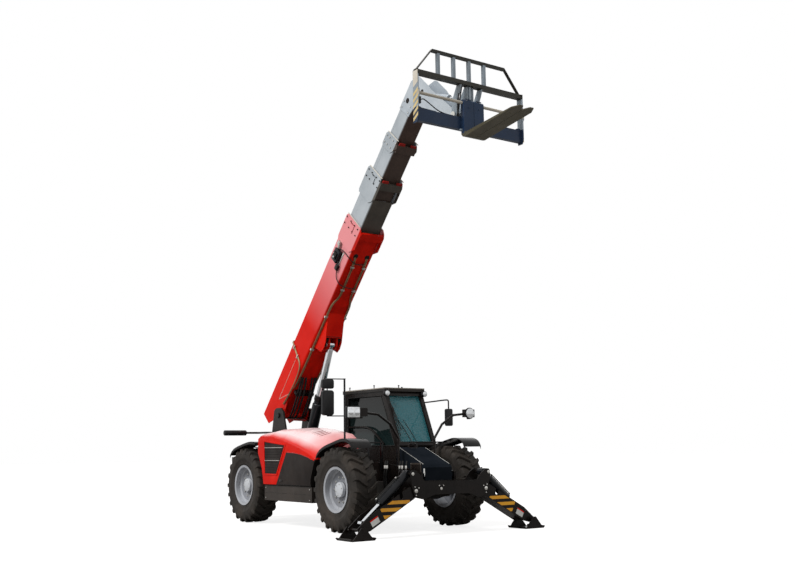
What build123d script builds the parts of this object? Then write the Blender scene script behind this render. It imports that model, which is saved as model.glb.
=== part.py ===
from build123d import *
from math import cos, hypot, radians, sin
import os

# Telehandler with four boom sections and front stabilisers. +X forward, +Y left, +Z up, millimetres.
# The origin is on the ground, on the centre plane, halfway along the machine.

# running gear
rear_axle_x = -2460
wheelbase = 2950
front_axle_x = rear_axle_x + wheelbase
tyre_radius = 620
tyre_width = 400
rim_radius = 308
axle_z = tyre_radius
wheel_y = 990
kingpin_y = 860
steer_arm_z = 125
steer_arm_thickness = 40
beam_half_x = 90
beam_half_z = 100

# frame
frame_inner_y = 285
frame_plate = 30
frame_rear_x = rear_axle_x - 1000
stab_x = front_axle_x + 1110
stab_plate_gap = 264
stab_plate = 16
stab_rear_x = stab_x - stab_plate_gap / 2 - stab_plate
stab_front_x = stab_x + stab_plate_gap / 2 + stab_plate
frame_front_x = stab_rear_x
boom_pivot_x = rear_axle_x - 361
boom_pivot_z = 1805
boom_pin_radius = 45
lift_base_x = rear_axle_x
lift_base_z = 860
lift_pin_radius = 35

# boom, measured along its own axis from the boom datum
boom_angle = 47.5
datum_x = rear_axle_x - 540
datum_z = 2105
pivot_s = -100
pivot_n = -335
pivot_boss_radius = 58
section_wall = 9
outer_width = 440
outer_height = 560
outer_tail_s = -560
outer_mouth_s = 3750
second_width = outer_width - 40
second_height = outer_height - 100
second_tail_s = -20
second_mouth_s = 4350
third_width = second_width - 35
third_height = second_height - 75
third_tail_s = 500
third_mouth_s = 5250
fourth_width = third_width - 40
fourth_height = third_height - 75
fourth_tail_s = 1020
fourth_end_s = 5960
collar_plate = 12
lift_eye_s = 1630
lift_eye_n = -494
tilt_base_s = 6200
tilt_base_n = -100
tilt_pin_radius = 25

# carriage and forks
tilt_pivot_x = rear_axle_x + 4700
tilt_pivot_z = 5980
tilt_pivot_radius = 36
tilt_boss_radius = 55
tilt_eye_x = rear_axle_x + 4720
tilt_eye_z = 6250
tilt_eye_gap = 84
carriage_x = rear_axle_x + 4760
carriage_half_width = 985
end_plate = 14
beam_low_z = 5730
beam_height = 185
beam_depth = 75
top_bar_low_z = 6410
top_bar_height = 60
top_bar_depth = 100
carriage_lug = 24
carriage_lug_y = 182
fork_rail_z = 6125
fork_rail_radius = 22
fork_rail_x = carriage_x + 105
fork_inner_y = 3
fork_width = 184
fork_shank = 70
fork_length = 1115
fork_rise = 98
fork_heel_z = 5610
fork_tip_thickness = 12
guard_top_z = 6845
guard_half_width = 680
guard_tube = 40
guard_depth = 50
guard_upright = 46

# cab
cab_right_y = 330
cab_left_y = 1100
cab_rear_x = rear_axle_x + 850
cab_wall = 40
cab_floor_z = 600
cab_top_z = 2130
glass_thickness = 8
door_gap = 6

# engine pod
pod_inner_y = -400
pod_outer_y = -1165
pod_rear_x = rear_axle_x + 712
pod_front_x = rear_axle_x + 2230
pod_floor_z = 400
hood_low_z = 640
hood_wall = 12

# stabilisers
leg_pivot_y = 630
leg_pivot_z = 620
leg_pin_radius = 25
leg_foot_y = 1530
leg_foot_z = 135
foot_pin_radius = 20
leg_width = 244
leg_top_n = 92
leg_low_n = 88
leg_wall = 12
stab_base_y = 684
stab_base_z = 854
stab_base_radius = 20
stab_fold = 95
stab_eye_t = 0.90
stab_eye_rise = 30
stab_barrel_radius = 60
stab_barrel_length = 610
stab_rod_radius = 27
stab_rod_length = 590
pad_half_width = 205
pad_half_length = 190
pad_plate = 14

# fits
pin_clearance = 0.3
seat_gap = 0.3
slide_gap = 0.5
side_gap = 6

os.makedirs("parts", exist_ok=True)

boom_u = (cos(radians(boom_angle)), 0, sin(radians(boom_angle)))
boom_side = Plane(origin=(datum_x, 0, datum_z), x_dir=boom_u, z_dir=(0, -1, 0))


def boom_point(s, n):
    """Side-view position of a point given along and square to the boom."""
    return (datum_x + s * boom_u[0] - n * boom_u[2], datum_z + s * boom_u[2] + n * boom_u[0])


def slab(points, y_low, y_high, mode=Mode.ADD, plane=Plane.XZ):
    """Side-view outline given a thickness from y_low to y_high."""
    with BuildSketch(plane.offset(-y_high)) as outline:
        with BuildLine():
            Polyline(*points, close=True)
        make_face()
    extrude(outline.sketch, amount=y_high - y_low, mode=mode)


def cross_cylinder(x, z, radius, y_low, y_high, mode=Mode.ADD):
    """Cylinder along Y."""
    with BuildSketch(Plane.XZ.offset(-y_high)) as outline:
        with Locations((x, z)):
            Circle(radius)
    extrude(outline.sketch, amount=y_high - y_low, mode=mode)


def lengthways_cylinder(y, z, radius, x_low, x_high, mode=Mode.ADD):
    """Cylinder along X."""
    with BuildSketch(Plane.YZ.offset(x_low)) as outline:
        with Locations((y, z)):
            Circle(radius)
    extrude(outline.sketch, amount=x_high - x_low, mode=mode)


def block(x_low, x_high, y_low, y_high, z_low, z_high, mode=Mode.ADD):
    """Upright box between two corners."""
    with BuildSketch(Plane.XY.offset(z_low)) as outline:
        with Locations(((x_low + x_high) / 2, (y_low + y_high) / 2)):
            Rectangle(x_high - x_low, y_high - y_low)
    extrude(outline.sketch, amount=z_high - z_low, mode=mode)


def boom_tube(width, height, tail_s, mouth_s, corner):
    """Hollow pressed section along the boom."""
    tail_x, tail_z = boom_point(tail_s, 0)
    inner_width = width - 2 * section_wall
    inner_height = height - 2 * section_wall
    with BuildSketch(Plane(origin=(tail_x, 0, tail_z), x_dir=(0, 1, 0), z_dir=boom_u)) as outline:
        RectangleRounded(width, height, corner)
        RectangleRounded(inner_width, inner_height, corner - section_wall / 2, mode=Mode.SUBTRACT)
    extrude(outline.sketch, amount=mouth_s - tail_s)


def boom_block(s_low, s_high, n_low, n_high, y_low, y_high, mode=Mode.ADD):
    """Box lined up with the boom."""
    points = [(s_low, n_low), (s_high, n_low), (s_high, n_high), (s_low, n_high)]
    slab(points, y_low, y_high, mode=mode, plane=boom_side)


def tail_pads(inner_width, inner_height, outer_w, outer_h, tail_s):
    """Wear pads at an inner section's tail, running inside the section around it."""
    side = outer_w / 2 - section_wall - slide_gap
    top = outer_h / 2 - section_wall - slide_gap
    for sign in (-1, 1):
        low, high = sorted((sign * inner_width / 2, sign * side))
        boom_block(tail_s + 20, tail_s + 200, -60, 60, low, high)
        low, high = sorted((sign * inner_height / 2, sign * top))
        boom_block(tail_s + 20, tail_s + 200, low, high, -70, 70)


def mouth_pads(outer_w, outer_h, inner_width, inner_height, mouth_s):
    """Wear pads inside a section's mouth, bearing on the section within it."""
    side = outer_w / 2 - section_wall
    top = outer_h / 2 - section_wall
    for sign in (-1, 1):
        low, high = sorted((sign * (inner_width / 2 + slide_gap), sign * side))
        boom_block(mouth_s - 160, mouth_s - 10, -60, 60, low, high)
        low, high = sorted((sign * (inner_height / 2 + slide_gap), sign * top))
        boom_block(mouth_s - 160, mouth_s - 10, low, high, -70, 70)


def mirrored(side, near, far):
    """Two distances from the centre plane as low and high Y on one side."""
    return sorted((side * near, side * far))


def cylinder_axis(start, end):
    """Length and direction of a cylinder between two side-view points."""
    length = hypot(end[0] - start[0], end[1] - start[1])
    return length, ((end[0] - start[0]) / length, (end[1] - start[1]) / length)


def bar(start, end, radius):
    """Round bar between two points."""
    direction = (end[0] - start[0], end[1] - start[1], end[2] - start[2])
    length = hypot(*direction)
    with BuildSketch(Plane(origin=start, z_dir=direction)) as outline:
        Circle(radius)
    extrude(outline.sketch, amount=length)


def bent_bar(points, radius):
    """Round bar through several points, each straight run on a little past the bend."""
    for index in range(len(points) - 1):
        start, end = points[index], points[index + 1]
        run = hypot(end[0] - start[0], end[1] - start[1], end[2] - start[2])
        past_start = radius * 0.7 / run if index > 0 else 0
        past_end = radius * 0.7 / run if index < len(points) - 2 else 0
        bar(
            tuple(a - (b - a) * past_start for a, b in zip(start, end)),
            tuple(b + (b - a) * past_end for a, b in zip(start, end)), radius,
        )


def save(builder, name):
    """Label a finished piece and write it out."""
    builder.part.label = name
    export_step(builder.part, f"parts/{name}.step")


# wheels, with the tyre seated between the rim flanges
tyre_profile = [
    (rim_radius + seat_gap, -150), (rim_radius + 40, -164), (450, -198), (545, -tyre_width / 2),
    (592, -188),
    (612, -165), (tyre_radius, -120), (tyre_radius, 120), (612, 165), (592, 188), (545, tyre_width / 2),
    (450, 198), (rim_radius + 40, 164), (rim_radius + seat_gap, 150),
]
rim_profile = [
    (296, -172), (332, -178), (332, -168), (rim_radius, -164), (rim_radius, 164), (332, 168), (332, 178),
    (296, 172), (296, 96), (165, 60), (112, 60), (112, 46), (165, 46), (296, 80),
]
wheel_table = [
    ("front_right", front_axle_x, -1), ("front_left", front_axle_x, 1),
    ("rear_right", rear_axle_x, -1), ("rear_left", rear_axle_x, 1),
]
for name, x, side in wheel_table:
    section = Plane(origin=(x, side * wheel_y, axle_z), x_dir=(0, 0, 1), z_dir=(-side, 0, 0))
    with BuildPart() as tyre:
        with BuildSketch(section):
            with BuildLine():
                Polyline(*tyre_profile, close=True)
            make_face()
        revolve(axis=Axis((x, 0, axle_z), (0, 1, 0)))
    save(tyre, f"tyre_{name}")
    with BuildPart() as rim:
        with BuildSketch(section):
            with BuildLine():
                Polyline(*rim_profile, close=True)
            make_face()
        revolve(axis=Axis((x, 0, axle_z), (0, 1, 0)))
    save(rim, f"rim_{name}")

    # steering knuckle: kingpin barrel, hub and the reduction housing that fills the rim's centre
    with BuildPart() as knuckle:
        with BuildSketch(Plane.XY.offset(axle_z - steer_arm_z + 5)):
            with Locations((x, side * kingpin_y)):
                Circle(68)
        extrude(amount=2 * steer_arm_z - 10)
        with BuildSketch(Plane.XY.offset(axle_z - steer_arm_z - steer_arm_thickness)):
            with Locations((x, side * kingpin_y)):
                Circle(25)
        extrude(amount=2 * (steer_arm_z + steer_arm_thickness))
        cross_cylinder(x, axle_z, 112, *sorted((side * (kingpin_y + 30), side * (wheel_y + 20))))
        cross_cylinder(x, axle_z, 150, *sorted((side * (wheel_y + 15), side * (wheel_y + 46 - seat_gap))))
        cross_cylinder(x, axle_z, 110, *sorted((side * (wheel_y + 40), side * (wheel_y + 110))))
    save(knuckle, f"knuckle_{name}")

# axles
for name, x in (("front_axle", front_axle_x), ("rear_axle", rear_axle_x)):
    with BuildPart() as axle:
        beam_end = kingpin_y - 80
        beam_low, beam_high = axle_z - beam_half_z, axle_z + beam_half_z
        block(x - beam_half_x, x + beam_half_x, -beam_end, beam_end, beam_low, beam_high)
        cross_cylinder(x, axle_z, 138, -200, 200)
        for side in (-1, 1):
            for sign in (-1, 1):
                low, high = sorted((sign * steer_arm_z, sign * (steer_arm_z + steer_arm_thickness)))
                inner, outer = sorted((side * (kingpin_y - 160), side * (kingpin_y + 40)))
                block(x - 60, x + 60, inner, outer, axle_z + low, axle_z + high)
            inner, outer = sorted((side * (kingpin_y - 160), side * (kingpin_y - 80)))
            block(x - 60, x + 60, inner, outer, axle_z - steer_arm_z - 5, axle_z + steer_arm_z + 5)
            with BuildSketch(Plane.XY.offset(axle_z - 200)):
                with Locations((x, side * kingpin_y)):
                    Circle(25 + pin_clearance)
            extrude(amount=400, mode=Mode.SUBTRACT)
    save(axle, name)

# main frame: two long plates with ears that carry the boom, joined across
frame_profile = [
    (frame_rear_x, 520), (frame_rear_x, 1080), (rear_axle_x - 640, 1300), (rear_axle_x - 520, 1900),
    (rear_axle_x - 440, 1940), (rear_axle_x - 280, 1940), (rear_axle_x - 200, 1880),
    (rear_axle_x + 20, 1220),
    (rear_axle_x + 300, 1080), (front_axle_x - 200, 1000), (front_axle_x + 300, 960), (frame_front_x, 860),
    (frame_front_x, 560), (front_axle_x + 500, 450), (rear_axle_x - 700, 450),
]
frame_outer_y = frame_inner_y + frame_plate
with BuildPart() as chassis:
    for side in (-1, 1):
        slab(frame_profile, *sorted((side * frame_inner_y, side * frame_outer_y)))
    cross_members = [
        (frame_rear_x + 80, 620), (rear_axle_x + 420, 560), (rear_axle_x + 1500, 560),
        (front_axle_x - 330, 560),
    ]
    for x, z in cross_members:
        block(x - 60, x + 60, -frame_inner_y, frame_inner_y, z - 60, z + 60)
    block(rear_axle_x + 360, front_axle_x - 270, -frame_inner_y, frame_inner_y, 455, 470)
    block(front_axle_x + 330, frame_front_x, -frame_inner_y, frame_inner_y, 600, 620)
    for x in (rear_axle_x, front_axle_x):
        block(x - beam_half_x - seat_gap, x + beam_half_x + seat_gap, -400, 400,
              axle_z - beam_half_z - seat_gap, axle_z + beam_half_z + seat_gap, mode=Mode.SUBTRACT)
    cross_cylinder(boom_pivot_x, boom_pivot_z, boom_pin_radius, -frame_outer_y - 20, frame_outer_y + 20)
    cross_cylinder(lift_base_x, lift_base_z, lift_pin_radius, -frame_inner_y, frame_inner_y)
save(chassis, "chassis")

with BuildPart() as counterweight:
    block(frame_rear_x - 110, frame_rear_x - seat_gap, -850, 850, 480, 1080)
    for side in (-1, 1):
        low, high = mirrored(side, frame_outer_y + seat_gap, 850)
        block(frame_rear_x - 110, rear_axle_x - 720, low, high, 480, 1080)
save(counterweight, "counterweight")

# fenders, high enough to clear the tyres at full lock
front_fender = [
    (front_axle_x - 520, 1100), (front_axle_x - 330, 1245), (front_axle_x + 30, 1320),
    (front_axle_x + 230, 1365),
    (front_axle_x + 400, 1320), (front_axle_x + 490, 1245),
]
rear_fender = [
    (rear_axle_x - 480, 1135), (rear_axle_x - 300, 1248), (rear_axle_x - 110, 1290),
    (rear_axle_x + 200, 1345),
    (rear_axle_x + 450, 1335),
]
fender_sheet = 8
fender_inner_y = 850
fender_outer_y = 1195
with BuildPart() as fenders:
    for points in (front_fender, rear_fender):
        outline = points + [(px, pz - fender_sheet) for px, pz in reversed(points)]
        for side in (-1, 1):
            slab(outline, *mirrored(side, fender_inner_y, fender_outer_y))
    near, far = frame_outer_y + seat_gap, fender_inner_y + 60
    for side in (-1, 1):
        block(rear_axle_x - 290, rear_axle_x - 230, *mirrored(side, near, far), 1240, 1256)
        block(front_axle_x - 60, front_axle_x, *mirrored(side, near, far), 1284, 1304)
        block(front_axle_x - 60, front_axle_x, *mirrored(side, near, near + 20), 880, 1300)
save(fenders, "fenders")

# engine pod on the right: tray and inner wall, plain engine block, lifting hood
hood_hinge_y = pod_inner_y - 5
hood_hinge_z = 1452
tray_sheet = 12
hood_hinges = [(rear_axle_x + 1040, 1540), (rear_axle_x + 1940, 1480)]
with BuildPart() as engine_tray:
    tray_right_y, tray_left_y = pod_outer_y + 25, -frame_outer_y - seat_gap
    tray_well = (pod_rear_x + tray_sheet, pod_front_x - tray_sheet, tray_right_y + tray_sheet,
        tray_left_y - tray_sheet)
    block(pod_rear_x, pod_front_x, tray_right_y, tray_left_y, pod_floor_z, hood_low_z)
    block(*tray_well, pod_floor_z + tray_sheet, hood_low_z, mode=Mode.SUBTRACT)
    block(pod_rear_x + 20, pod_front_x - 20, pod_inner_y - 10, pod_inner_y, pod_floor_z + 6,
        hood_hinge_z - 30)
    block(pod_rear_x + 20, pod_front_x - 20, pod_inner_y - 10, tray_left_y, 900, 912)
    for x, _ in hood_hinges:
        lengthways_cylinder(hood_hinge_y, hood_hinge_z, 8, x - 50, x + 50)
        for ear in (x - 50, x + 40):
            block(ear, ear + 10, pod_inner_y - 12, pod_inner_y + 2, hood_hinge_z - 60, hood_hinge_z + 10)
save(engine_tray, "engine_tray")

with BuildPart() as engine:
    block(rear_axle_x + 860, rear_axle_x + 2040, -1040, -480, pod_floor_z + tray_sheet + seat_gap, 1250)
save(engine, "engine")

hood_profile = [
    (pod_rear_x + 5, hood_low_z + side_gap), (rear_axle_x + 655, 900), (rear_axle_x + 560, 1070),
    (rear_axle_x + 505, 1150), (rear_axle_x + 500, 1440), (rear_axle_x + 600, 1500),
    (rear_axle_x + 1100, 1555),
    (rear_axle_x + 1600, 1540), (rear_axle_x + 2300, 1430), (rear_axle_x + 2425, 1340),
    (rear_axle_x + 2440, 1155),
    (rear_axle_x + 2385, 1060), (rear_axle_x + 2340, 1000), (rear_axle_x + 2290, 900),
    (rear_axle_x + 2240, 760),
    (pod_front_x + 5, hood_low_z + side_gap),
]
with BuildPart() as hood:
    slab(hood_profile, pod_outer_y, pod_inner_y - 18)
    with BuildSketch(Plane.XZ.offset(-(pod_inner_y - 10))):
        with BuildLine():
            Polyline(*hood_profile, close=True)
        make_face()
        offset(amount=-hood_wall, mode=Mode.REPLACE)
    extrude(amount=pod_inner_y - 10 - pod_outer_y - hood_wall, mode=Mode.SUBTRACT)
    mouth = (pod_rear_x + 20, pod_front_x - 12, pod_outer_y + hood_wall, pod_inner_y)
    block(*mouth, hood_low_z, hood_low_z + 40, mode=Mode.SUBTRACT)
    for x, top_z in hood_hinges:
        block(x - 36, x + 36, pod_inner_y - 40, pod_inner_y - 25, hood_hinge_z - 8, top_z)
        block(x - 36, x + 36, pod_inner_y - 40, hood_hinge_y, hood_hinge_z - 8, hood_hinge_z + 8)
        lengthways_cylinder(hood_hinge_y, hood_hinge_z, 15, x - 36, x + 36)
        lengthways_cylinder(hood_hinge_y, hood_hinge_z, 8 + pin_clearance, x - 60, x + 60,
            mode=Mode.SUBTRACT)
save(hood, "hood")

# cab: hollow shell, roof, fixed panes, door and its pane
cab_profile = [
    (cab_rear_x, cab_floor_z), (cab_rear_x, cab_top_z), (rear_axle_x + 2050, cab_top_z),
    (rear_axle_x + 2430, 1250),
    (rear_axle_x + 2400, 1100), (rear_axle_x + 2280, 850), (rear_axle_x + 2240, cab_floor_z),
]
door_hinge_x = rear_axle_x + 954
door_hinge_y = cab_left_y + 14
door_hinges = (820, 1500)
with BuildPart() as cab_frame:
    slab(cab_profile, cab_right_y, cab_left_y)
    with BuildSketch(Plane.XZ.offset(-(cab_left_y - cab_wall))):
        with BuildLine():
            Polyline(*cab_profile, close=True)
        make_face()
        offset(amount=-cab_wall, mode=Mode.REPLACE)
    extrude(amount=cab_left_y - cab_right_y - 2 * cab_wall, mode=Mode.SUBTRACT)
    block(rear_axle_x + 1000, rear_axle_x + 1950, 450, 980, 2060, 2200, mode=Mode.SUBTRACT)
    block(rear_axle_x + 2000, rear_axle_x + 2600, 400, 1030, 1310, 2060, mode=Mode.SUBTRACT)
    block(cab_rear_x - 50, cab_rear_x + 60, 420, 1010, 1300, 2060, mode=Mode.SUBTRACT)
    right_window = [
        (rear_axle_x + 950, 1250), (rear_axle_x + 950, 2060), (rear_axle_x + 1990, 2060),
        (rear_axle_x + 2340, 1250),
    ]
    slab(right_window, cab_right_y - 20, cab_right_y + 60, mode=Mode.SUBTRACT)
    door_hole = [
        (rear_axle_x + 960, 660), (rear_axle_x + 960, 2080), (rear_axle_x + 1960, 2080),
        (rear_axle_x + 2310, 1270),
        (rear_axle_x + 2280, 1110), (rear_axle_x + 2180, 900), (rear_axle_x + 2150, 660),
    ]
    slab(door_hole, cab_left_y - 60, cab_left_y + 20, mode=Mode.SUBTRACT)
    block(cab_rear_x + 200, cab_rear_x + 300, frame_outer_y + seat_gap, cab_right_y, 700, 900)
    block(cab_rear_x + 1000, cab_rear_x + 1100, frame_outer_y + seat_gap, cab_right_y, 700, 900)
    for z in door_hinges:
        for low in (z - 60, z + 42):
            block(door_hinge_x - 28, door_hinge_x + 8, cab_left_y - 5, door_hinge_y + 10, low, low + 18)
        with BuildSketch(Plane.XY.offset(z - 60)):
            with Locations((door_hinge_x, door_hinge_y)):
                Circle(8)
        extrude(amount=120)
save(cab_frame, "cab_frame")

with BuildPart() as cab_roof:
    block(cab_rear_x - 40, rear_axle_x + 2090, cab_right_y - 20, cab_left_y + 20, cab_top_z + seat_gap,
        cab_top_z + 60)
    block(rear_axle_x + 1000, rear_axle_x + 1950, 450, 980, cab_top_z - 10, cab_top_z + 80,
        mode=Mode.SUBTRACT)
save(cab_roof, "cab_roof")

windscreen_foot = (rear_axle_x + 2430, 1250)
windscreen_head = (rear_axle_x + 2050, cab_top_z)
slope_length, along = cylinder_axis(windscreen_foot, windscreen_head)
inward = (-along[1], along[0])
pane_offset = cab_wall + seat_gap
with BuildPart() as cab_glass:
    base = (windscreen_foot[0] + inward[0] * pane_offset, windscreen_foot[1] + inward[1] * pane_offset)
    low = (base[0] + along[0] * 40, base[1] + along[1] * 40)
    high = (base[0] + along[0] * (slope_length - 50), base[1] + along[1] * (slope_length - 50))
    pane = [
        low, high, (high[0] + inward[0] * glass_thickness, high[1] + inward[1] * glass_thickness),
        (low[0] + inward[0] * glass_thickness, low[1] + inward[1] * glass_thickness),
    ]
    slab(pane, cab_right_y + cab_wall + 10, cab_left_y - cab_wall - 10)
    inner_right = cab_right_y + cab_wall + seat_gap
    side_pane = [
        (rear_axle_x + 920, 1230), (rear_axle_x + 920, 2080), (rear_axle_x + 1940, 2080),
        (rear_axle_x + 2300, 1230),
    ]
    slab(side_pane, inner_right, inner_right + glass_thickness)
    inner_rear = cab_rear_x + cab_wall + seat_gap
    block(inner_rear, inner_rear + glass_thickness, 390, 1040, 1270, 2080)
    roof_low = cab_top_z - cab_wall - seat_gap - glass_thickness
    block(rear_axle_x + 970, rear_axle_x + 1935, 430, 1000, roof_low, roof_low + glass_thickness)
save(cab_glass, "cab_glass")

door_profile = [
    (rear_axle_x + 960 + door_gap, 660 + door_gap), (rear_axle_x + 960 + door_gap, 2080 - door_gap),
    (rear_axle_x + 1956, 2080 - door_gap), (rear_axle_x + 2303, 1270), (rear_axle_x + 2273, 1113),
    (rear_axle_x + 2173, 902), (rear_axle_x + 2144, 660 + door_gap),
]
door_window = [
    (rear_axle_x + 1020, 1000), (rear_axle_x + 1020, 2015), (rear_axle_x + 1920, 2015),
    (rear_axle_x + 2240, 1260),
    (rear_axle_x + 2215, 1130), (rear_axle_x + 2155, 1000),
]
with BuildPart() as door:
    slab(door_profile, cab_left_y - cab_wall, cab_left_y)
    slab(door_window, cab_left_y - cab_wall - 10, cab_left_y + 10, mode=Mode.SUBTRACT)
    for z in door_hinges:
        block(door_hinge_x, door_hinge_x + 60, cab_left_y + 6, cab_left_y + 20, z - 38, z + 38)
        block(door_hinge_x + 16, door_hinge_x + 60, cab_left_y - 5, cab_left_y + 20, z - 38, z + 38)
        for radius, mode in ((14, Mode.ADD), (8 + pin_clearance, Mode.SUBTRACT)):
            with BuildSketch(Plane.XY.offset(z - 38)):
                with Locations((door_hinge_x, door_hinge_y)):
                    Circle(radius)
            extrude(amount=76, mode=mode)
save(door, "door")

door_pane = [
    (rear_axle_x + 1005, 985), (rear_axle_x + 1005, 2030), (rear_axle_x + 1928, 2030),
    (rear_axle_x + 2255, 1262),
    (rear_axle_x + 2229, 1124), (rear_axle_x + 2165, 985),
]
with BuildPart() as door_glass:
    slab(door_pane, cab_left_y - cab_wall - seat_gap - glass_thickness, cab_left_y - cab_wall - seat_gap)
save(door_glass, "door_glass")

seat_x = rear_axle_x + 1330
cab_mid_y = (cab_right_y + cab_left_y) / 2
seat_floor = cab_floor_z + cab_wall + seat_gap
with BuildPart() as seat:
    block(seat_x - 190, seat_x + 200, cab_mid_y - 190, cab_mid_y + 190, seat_floor, 930)
    with BuildSketch(Plane.XY.offset(925)):
        with Locations((seat_x + 20, cab_mid_y)):
            RectangleRounded(500, 500, 60)
    extrude(amount=125)
    back = [
        (seat_x - 160, 1000), (seat_x - 290, 1560), (seat_x - 250, 1640), (seat_x - 170, 1640),
        (seat_x - 60, 1040),
    ]
    slab(back, cab_mid_y - 230, cab_mid_y + 230)
save(seat, "seat")

with BuildPart() as helm:
    block(rear_axle_x + 2000, rear_axle_x + 2080, cab_mid_y - 60, cab_mid_y + 60, seat_floor, 1050)
    bar((rear_axle_x + 2040, cab_mid_y, 1000), (rear_axle_x + 1880, cab_mid_y, 1280), 28)
    with BuildSketch(Plane(origin=(rear_axle_x + 1880, cab_mid_y, 1280), x_dir=(0, 1, 0),
        z_dir=(-160, 0, 280))):
        Circle(180)
        Circle(152, mode=Mode.SUBTRACT)
        Rectangle(320, 30)
        Rectangle(30, 320)
    extrude(amount=24)
save(helm, "helm")

# front frame: two cross plates that carry the legs, spacers between, and the sloping cover behind
stab_outline = [
    (-300, 560), (-500, 500), (-640, 530), (-675, 620), (-695, 700), (-716, 800), (-718, 870), (-695, 900),
    (-640, 905), (-560, 850), (-470, 745), (-300, 745), (300, 745), (470, 745), (560, 850), (640, 905),
    (695, 900), (718, 870), (716, 800), (695, 700), (675, 620), (640, 530), (500, 500), (300, 560),
]
with BuildPart() as front_frame:
    for x in (stab_rear_x, stab_front_x - stab_plate):
        with BuildSketch(Plane.YZ.offset(x)):
            with BuildLine():
                Polyline(*stab_outline, close=True)
            make_face()
        extrude(amount=stab_plate)
    block(stab_rear_x, stab_front_x, -430, 430, 590, 720)
    for side in (-1, 1):
        lengthways_cylinder(side * leg_pivot_y, leg_pivot_z, leg_pin_radius, stab_rear_x - 6,
            stab_front_x + 6)
        lengthways_cylinder(side * stab_base_y, stab_base_z, stab_base_radius, stab_rear_x - 6,
            stab_front_x + 6)
save(front_frame, "front_frame")

nose_rear_x = front_axle_x + 250
nose_inner_y = 228
nose_outer_y = 240
nose_profile = [
    (nose_rear_x, 860), (nose_rear_x, 1190), (nose_rear_x + 60, 1220), (stab_rear_x - 40, 970),
    (stab_rear_x - seat_gap, 930), (stab_rear_x - seat_gap, 640), (nose_rear_x + 500, 640),
]
with BuildPart() as nose_cover:
    slab(nose_profile, -nose_outer_y, nose_outer_y)
    with BuildSketch(Plane.XZ.offset(-nose_inner_y)):
        with BuildLine():
            Polyline(*nose_profile, close=True)
        make_face()
        offset(amount=nose_inner_y - nose_outer_y, mode=Mode.REPLACE)
    extrude(amount=2 * nose_inner_y, mode=Mode.SUBTRACT)
    for side in (-1, 1):
        low, high = mirrored(side, nose_outer_y - 5, frame_inner_y - seat_gap)
        block(nose_rear_x + 100, nose_rear_x + 180, low, high, 900, 930)
        block(stab_rear_x - 110, stab_rear_x - 30, low, high, 800, 850)
save(nose_cover, "nose_cover")

lamp_arm_radius = 18
lamp_arm_x = front_axle_x + 430
lamp_arm_y = frame_outer_y + lamp_arm_radius + seat_gap
with BuildPart() as lamp_arms:
    for side in (-1, 1):
        points = [
            (lamp_arm_x, side * lamp_arm_y, 820), (lamp_arm_x, side * lamp_arm_y, 1350),
            (lamp_arm_x + 5, side * 480, 1560), (lamp_arm_x + 10, side * 700, 1700),
            (lamp_arm_x + 10, side * 1000, 1730),
        ]
        bent_bar(points, lamp_arm_radius)
        with Locations(points[-1]):
            Box(70, 190, 120)
save(lamp_arms, "lamp_arms")

mirror_post_x = front_axle_x - 400
mirror_head_x = mirror_post_x - 66
mirror_head_y = -1020
with BuildPart() as mirror_arms:
    block(mirror_post_x - 20, mirror_post_x + 20, -frame_outer_y - 30, -frame_outer_y - seat_gap, 860, 1330)
    bent_bar([(mirror_post_x, -330, 1315), (mirror_post_x, -750, 1315), (mirror_post_x, -750, 2272)], 15)
    for z in (1704, 2266):
        bar((mirror_post_x, -750, z), (mirror_head_x, mirror_head_y, z), 9)
    bar((mirror_head_x, mirror_head_y, 1700), (mirror_head_x, mirror_head_y, 2270), 9)
    for low_z, high_z in ((1710, 2095), (2115, 2260)):
        block(mirror_head_x - 15, mirror_head_x + 15, mirror_head_y - 95, mirror_head_y + 95, low_z, high_z)
    left_mirror_x = rear_axle_x + 2700
    left_mirror_y = cab_left_y + 50
    bent_bar([
        (rear_axle_x + 2095, cab_left_y + seat_gap, 1955), (rear_axle_x + 2095, cab_left_y + 40, 1955),
        (rear_axle_x + 2560, left_mirror_y, 1975), (left_mirror_x, left_mirror_y, 1960),
        (left_mirror_x, left_mirror_y, 1560),
    ], 12)
    block(left_mirror_x - 15, left_mirror_x + 15, left_mirror_y - 68, left_mirror_y + 68, 1550, 1830)
save(mirror_arms, "mirror_arms")

# boom sections, each sliding in the one before it on wear pads, with a collar plate on each side of its
# mouth
section_table = [
    ("boom_outer", outer_width, outer_height, outer_tail_s, outer_mouth_s, 45),
    ("boom_second", second_width, second_height, second_tail_s, second_mouth_s, 40),
    ("boom_third", third_width, third_height, third_tail_s, third_mouth_s, 36),
    ("boom_fourth", fourth_width, fourth_height, fourth_tail_s, fourth_end_s, 32),
]
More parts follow.
